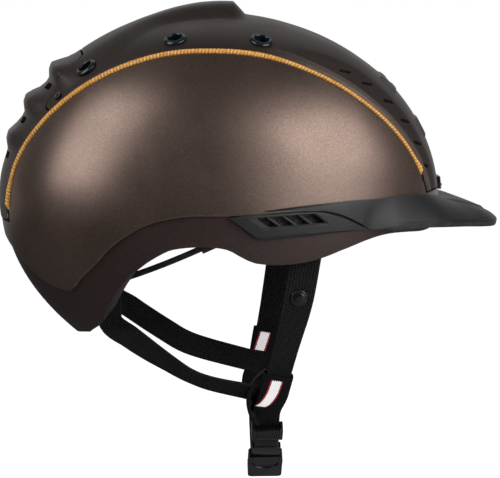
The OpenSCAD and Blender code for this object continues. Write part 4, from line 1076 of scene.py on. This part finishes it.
def reflectiveStrip(tree, at):
    # woven white beads down the middle, crimson ground threads at both edges
    apart = parts(place(tree, "UV"))
    ragged = times(calc("SUBTRACT", noise(at, 1500.0), 0.5), 0.22)
    edge = calc("ADD", calc("ABSOLUTE", apart["Y"]), ragged)
    border = ramp(edge, 0.7, 0.8)
    rib = wave(apart["X"], math.pi / 0.0007)
    high = ramp(rib, 0.0, 0.5)
    white = tint(high, (0.82, 0.82, 0.83), (0.96, 0.96, 0.96))
    red = tint(high, (0.22, 0.01, 0.02), (0.5, 0.022, 0.04))
    # painted light: the strip glows faintly, white in the middle and crimson at the edges, though it is no lamp
    paintedGlow = tint(border, (1.0, 1.0, 1.0), (0.12, 0.005, 0.01))
    return {"Base Color": tint(border, white, red), "Emission Color": paintedGlow, "Emission Strength": 0.28,
            "Roughness": ramp(edge, 0.7, 0.8, 0.45, 0.85)}, (rib, 0.4, 0.0002)


def beadFoam(tree, at):
    # expanded beads pressed together, with a dark moulded skin
    cells = add("TexVoronoi", {"Scale": 330.0, "Vector": at}, feature="DISTANCE_TO_EDGE")
    seam = ramp(cells["Distance"], 0.0, 0.09)
    tone = tint(noise(at, 40.0, 3.0), (0.03, 0.03, 0.032), (0.018, 0.018, 0.02))
    tone = tint(seam, (0.009, 0.009, 0.01), tone)
    return {"Base Color": tone, "Roughness": ramp(seam, 0.0, 1.0, 0.9, 0.62)}, (seam, 0.6, 0.0003)


def spacerMesh(tree, at):
    # spacer mesh over soft foam: small hexagonal holes in a knitted face
    cells = add("TexVoronoi", {"Scale": 520.0, "Randomness": 0.25, "Vector": at})
    hole = ramp(cells["Distance"], 0.28, 0.42, 1.0, 0.0)
    tone = tint(ramp(noise(at, 30.0, 4.0), 0.3, 0.7), (0.045, 0.046, 0.05), (0.03, 0.031, 0.034))
    tone = tint(ramp(noise(at, 4200.0, 1.0), 0.55, 0.8, 0.0, 0.5), tone, (0.11, 0.11, 0.115))
    tone = tint(hole, tone, (0.006, 0.006, 0.007))
    return ({"Base Color": tone, "Roughness": 0.95, "Sheen Weight": 0.3},
            (calc("SUBTRACT", 1.0, hole), 0.7, 0.0005))


def plated(tree, at):
    mottle = noise(at, 300.0, 4.0)
    tone = tint(ramp(mottle, 0.35, 0.7), (0.62, 0.62, 0.63), (0.48, 0.48, 0.5))
    rough = ramp(noise(at, 1900.0), 0.3, 0.7, 0.2, 0.34)
    return {"Base Color": tone, "Roughness": rough, "Metallic": 1.0}, (mottle, 0.06, 0.0002)


# each lacquer and moulded finish gives a light, a dark and a lighter edge tone; the edge tone is part rubbed wear, part
# painted highlight
finish = {
    "bronze": paint("bronzeLacquer", lacquer, (0.19, 0.136, 0.113), (0.172, 0.122, 0.101), (0.25, 0.18, 0.15),
                    0.85, 0.35, (2900.0, 0.42)),
    # darkBronze's last colour is the painted highlight on the strip between the crease and the cord
    "dark": paint("darkBronze", lacquer, (0.05, 0.038, 0.033), (0.043, 0.033, 0.028), (0.11, 0.082, 0.07),
                  0.55, 0.45, (1900.0, 0.35), (0.13, 0.095, 0.08)),
    "plum": paint("plumShell", lacquer, (0.056, 0.036, 0.033), (0.048, 0.031, 0.028), (0.15, 0.1, 0.09),
                  0.5, 0.42, (1900.0, 0.3)),
    "satin": paint("satinBlack", moulded, (0.008, 0.0085, 0.0095), (0.006, 0.0065, 0.0072), (0.04, 0.042, 0.045),
                   0.48, 900.0, 0.12),
    "gloss": paint("glossBlack", moulded, (0.006, 0.006, 0.007), (0.005, 0.005, 0.006), (0.02, 0.02, 0.022),
                   0.17, 500.0, 0.04),
    "eyelet": paint("tealEyelet", moulded, (0.006, 0.014, 0.017), (0.005, 0.011, 0.014), (0.03, 0.06, 0.07),
                    0.2, 600.0, 0.05),
    "foam": paint("beadFoam", beadFoam),
    "padding": paint("spacerMesh", spacerMesh),
    "webbing": paint("blackWebbing", woven, (0.0095, 0.0095, 0.0105), (0.001, 0.001, 0.0012), 0.0015, 0.0016),
    # painted light: the chin strap is the same webbing as the rest, painted three times lighter where it turns up
    # towards the lamps
    "chin": paint("chinWebbing", woven, (0.03, 0.03, 0.031), (0.003, 0.003, 0.0035), 0.0015, 0.0016),
    "elastic": paint("blackElastic", woven, (0.009, 0.009, 0.01), (0.003, 0.003, 0.0035), 0.0009, 0.0007),
    "cord": paint("braidedCord", braided),
    "reflective": paint("reflectiveStrip", reflectiveStrip),
    "steel": paint("platedSteel", plated),
}
bodyOf = {node: body for body, nodes in frame["record"]["behaviour"]["bodies"].items() for node in nodes}
slotOf = {entry["node"]: entry["material_slot"] for entry in frame["record"]["subparts"]}


def wear(piece, look):
    piece.data.materials.clear()
    piece.data.materials.append(finish[look])


def stand(piece, look, node=None, body="helmet"):
    # the piece rides on its node's body, has its slot and takes its place
    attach(piece, bodyOf.get(node, body))
    if node:
        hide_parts(node)
    wear(piece, look)


def softened(node, look, radius):
    # the solid's own form with its edges rounded, as moulded parts have them
    source = frame["nodes"][node]
    mesh = source.data.copy()
    mesh.transform(source.matrix_world)
    with edited(mesh) as bm:
        bmesh.ops.remove_doubles(bm, verts=bm.verts, dist=2e-6)
        bmesh.ops.dissolve_limit(bm, angle_limit=math.radians(0.5), verts=bm.verts, edges=bm.edges)
    piece = placed(ownName(node), mesh)
    mesh.materials.clear()
    mesh.shade_smooth()
    step = piece.modifiers.new("edges", "BEVEL")
    step.width, step.segments, step.limit_method = radius * mm, 2, "ANGLE"
    step.angle_limit, step.harden_normals = math.radians(35), True
    bake(piece)
    if node == "buckle_female":
        arc = [(8.2 * math.cos(a), 6.5 + 5.5 * math.sin(a)) for a in np.linspace(0, math.pi, 17)]
        outline = [(8.2, -4)] + arc + [(-8.2, -4)]
        window = [[onBuckle(y, up, x) for x, y in outline] for up in (-12, buckle["window"])]
        carve(piece, [loopSolid("cutter", window)], 30)
    stand(piece, look, node)


print("shells")
stand(buildUpperShell(), "bronze", "upper_shell")
slotCutters = panelSlots(-8, 0.02)
slotCutters += [mirrorCopy(c, "cutter") for c in slotCutters]
stand(carve(buildLowerShell(), slotCutters), "plum", "lower_shell")
print("crown cover")
stand(buildCrownCover(), "dark", "crown_cover")
stand(buildRearLouvre(), "dark", "rear_louvre")
stand(buildVentLips(), "satin", "front_vent_lips")
print("cords")
stand(buildCord(-1), "cord", "cord_right")
stand(buildCord(1), "cord", "cord_left")
print("vent panels and peak")
ventPanel = buildVentPanel()
ventPanelLeft = mirrorCopy(ventPanel, "ventPanelLeft")
stand(ventPanel, "satin", "vent_panel_right")
stand(ventPanelLeft, "satin", "vent_panel_left")
stand(buildVisor(), "satin", "visor")
print("lining")
stand(buildLiner(), "foam", "impact_liner")
for node in [*padPlaces, "nape_pad"]:
    piece = buildPad(node) if node in padPlaces else buildNapePad()
    stand(piece, "padding", node)
print("webbing")
for node, path, faces in (
        ("front_strap_right", frontPath, facing(frontPath)), ("front_strap_left", leftPath, facing(leftPath)),
        ("rear_strap_right", rearPath, twisted(rearPath, rearFaces, 38)),
        ("rear_strap_left", mirrored(rearPath), mirrored(rearFaces))):
    spread = webbing["topWidth"] - webbing["width"] if path[0][0] > 0 else 0
    width = webbing["width"] + spread * (1 - ease((np.arange(len(path)) - 2) / 5))
    stand(flatStrip(ownName(node), path, faces, width, webbing["thick"]), "webbing", node)
for side, path, line in (("Right", frontPath, stripRight), ("Left", leftPath, stripLeft)):
    stand(buildSleeve("keeper" + side, path, *sleeve[side.lower()]), "elastic", "keeper_" + side.lower())
    stand(buildStripe("stripe" + side, path, line, side == "Left"), "reflective")
turnFaces = np.cross(unit(np.gradient(turnBack, axis=0)), -toRight)
stand(flatStrip("turnBackRight", turnBack, turnFaces, 9.0, 2.2, 8), "webbing")
loopPath = np.array([onBuckle(y, buckle["loopUp"] - bow) for y, bow in (
    (-24.4, 0), (-18.8, 0.1), (-16.6, 0.9), (-14.2, 1.3), (-11.8, 0.8), (-9.6, 0.1), (-6.1, 0))])
stand(flatStrip("chinStrap", loopPath, facing(loopPath), webbing["width"], webbing["thick"]), "chin", "chin_strap")
print("fastenings")
stand(buildLadderLock(), "gloss", "ladder_lock")
eyeletProfile = [
    (4.3, -3), (4.35, -0.6), (4.3, 0.3), (4.5, 0.95), (5.1, 1.35), (5.9, 1.2), (6.6, 0.75), (7, 0.25), (6.9, -0.2),
    (5.4, -0.5), (4.9, -3)]
rings = []
for psi, v in eyeletPlaces:
    at, x, y, n = frameAt(coverU(psi, v))
    rings.append(turned(rounded(eyeletProfile), (at + n * (float(reliefOff(psi, v)) + 0.15), x, y, n)))
stand(joined("crownEyelets", rings), "eyelet", "crown_eyelets")


def atSnap(side):
    n = np.cross(unit(frontPath[4] - frontPath[2]), alongX)
    flip = np.array([1, side, 1])
    return frontPath[3] * flip, alongX, np.cross(n, alongX) * flip, n * flip


capProfile = [
    (0, 0.65), (0, 2.55), (1.2, 2.5), (2.6, 2.3), (3.4, 2.05), (3.75, 1.75), (4.0, 1.72), (4.5, 1.85), (5.0, 1.7),
    (5.3, 1.3), (5.3, 0.7), (4.6, 0.65)]
stand(joined("snapCaps", [turned(capProfile, atSnap(side)) for side in (1, -1)]), "gloss", "snap_caps")
for look, radius, *nodes in (
        ("gloss", 0.9, "buckle_female"), ("gloss", 0.4, "buckle_male"), ("gloss", 0.3, "prong_front", "prong_rear"),
        ("gloss", 0.5, "visor_latch"), ("satin", 0.6, "neck_cradle"), ("satin", 0.5, "dial_housing"),
        ("satin", 0.3, "dial_knob"), ("satin", 0.2, "rack_right", "rack_left"),
        ("satin", 0.4, "side_band_right", "side_band_left"), ("gloss", 0.3, "band_studs"),
        ("gloss", 0.15, "louvre_screws")):
    for node in nodes:
        softened(node, look, radius)

# the remaining solids keep their form and take their finish
slotFinish = {
    "satin_black": "satin", "gloss_black": "gloss", "eyelet_teal": "eyelet", "steel": "steel", "pad_fabric": "padding",
    "webbing_black": "webbing", "keeper_elastic": "elastic", "cord_gold": "cord"}
for node, item in frame["nodes"].items():
    if slotOf[node] in slotFinish and hasattr(item, "data"):
        wear(item, slotFinish[slotOf[node]])


# floor, light and camera
stage = {"floor": -0.45, "size": 12.0, "ambient": 0.07}


def backdropMask(tree, axis, near, far):
    # camera rays see the white backdrop, and so do reflections that look behind the helmet
    behind = ramp(axis, near, far, 0.0, 0.6)
    ray = newNode(tree, "LightPath").outputs
    mirrorRay = times(calc("MAXIMUM", ray["Is Glossy Ray"], ray["Is Transmission Ray"]), behind)
    return calc("MAXIMUM", ray["Is Camera Ray"], mirrorRay)


def paleFloor(tree, at):
    # dimmer in reflections towards the front; seen from below the floor isn't there
    apart = parts(at)
    mask = backdropMask(tree, apart["Y"], 0.8, 4.0)
    dim = times(newNode(tree, "LightPath").outputs["Is Glossy Ray"], ramp(apart["X"], -0.5, 0.5, 1.0, 0.3))
    return {"Base Color": tint(dim, (0.82, 0.82, 0.82), (0.1, 0.1, 0.1)), "Roughness": 0.9,
            "Emission Color": (1, 1, 1), "Emission Strength": times(mask, 0.96),
            "Alpha": calc("SUBTRACT", 1.0, newNode(tree, "NewGeometry").outputs["Backfacing"])}, None


floorMesh = bpy.data.meshes.new("floor")
e = stage["size"]
floorMesh.from_pydata([(-e, -e, 0), (e, -e, 0), (e, e, 0), (-e, e, 0)], [], [(0, 1, 2, 3)])
floor = placed("floor", floorMesh)
floor.location.z = stage["floor"]
floor.data.materials.append(paint("paleFloor", paleFloor))

world = bpy.data.worlds.new("studio")
bpy.context.scene.world = world
world.use_nodes = True
tree = world.node_tree
mask = backdropMask(tree, parts(place(tree, "Generated"))["Y"], 0.4, 1.0)
feed(tree.nodes["Background"].inputs, {
    "Color": tint(mask, (stage["ambient"],) * 3, (1, 1, 1)), "Strength": 1.0})

for name, at, width, height, power in (
        ("rearBox", (-1.02, -0.52, 0.7), 0.8, 1.15, 10.0), ("frontBox", (0.99, -0.79, 0.68), 1.2, 0.8, 11.5),
        ("lowBox", (0.88, -0.9, 0.0), 0.9, 0.5, 3.4), ("topBox", (0.2, 0.8, 1.1), 0.9, 0.4, 0.7)):
    light = bpy.data.lights.new(name, "AREA")
    light.shape = "RECTANGLE"
    light.size, light.size_y, light.energy = width, height, power
    item = placed(name, light)
    item.location = at
    item.rotation_euler = (-Vector(at)).to_track_quat("-Z", "Y").to_euler()

cameraPlace = {
    "azimuth": -3.0, "elevation": 7.5, "distance": 1.5, "target": (0.019, 0.0, -0.0247), "width": 0.3169, "sensor": 36}
az, el = math.radians(cameraPlace["azimuth"]), math.radians(cameraPlace["elevation"])
back = Vector((math.sin(az) * math.cos(el), -math.cos(az) * math.cos(el), math.sin(el)))
lens = bpy.data.cameras.new("camera")
lens.sensor_fit = "HORIZONTAL"
lens.sensor_width = cameraPlace["sensor"]
lens.lens = cameraPlace["sensor"] * cameraPlace["distance"] / cameraPlace["width"]
camera = placed("camera", lens)
camera.location = Vector(cameraPlace["target"]) + back * cameraPlace["distance"]
camera.rotation_euler = (-back).to_track_quat("-Z", "Y").to_euler()
bpy.context.scene.camera = camera
bpy.context.scene.view_settings.view_transform = "Standard"
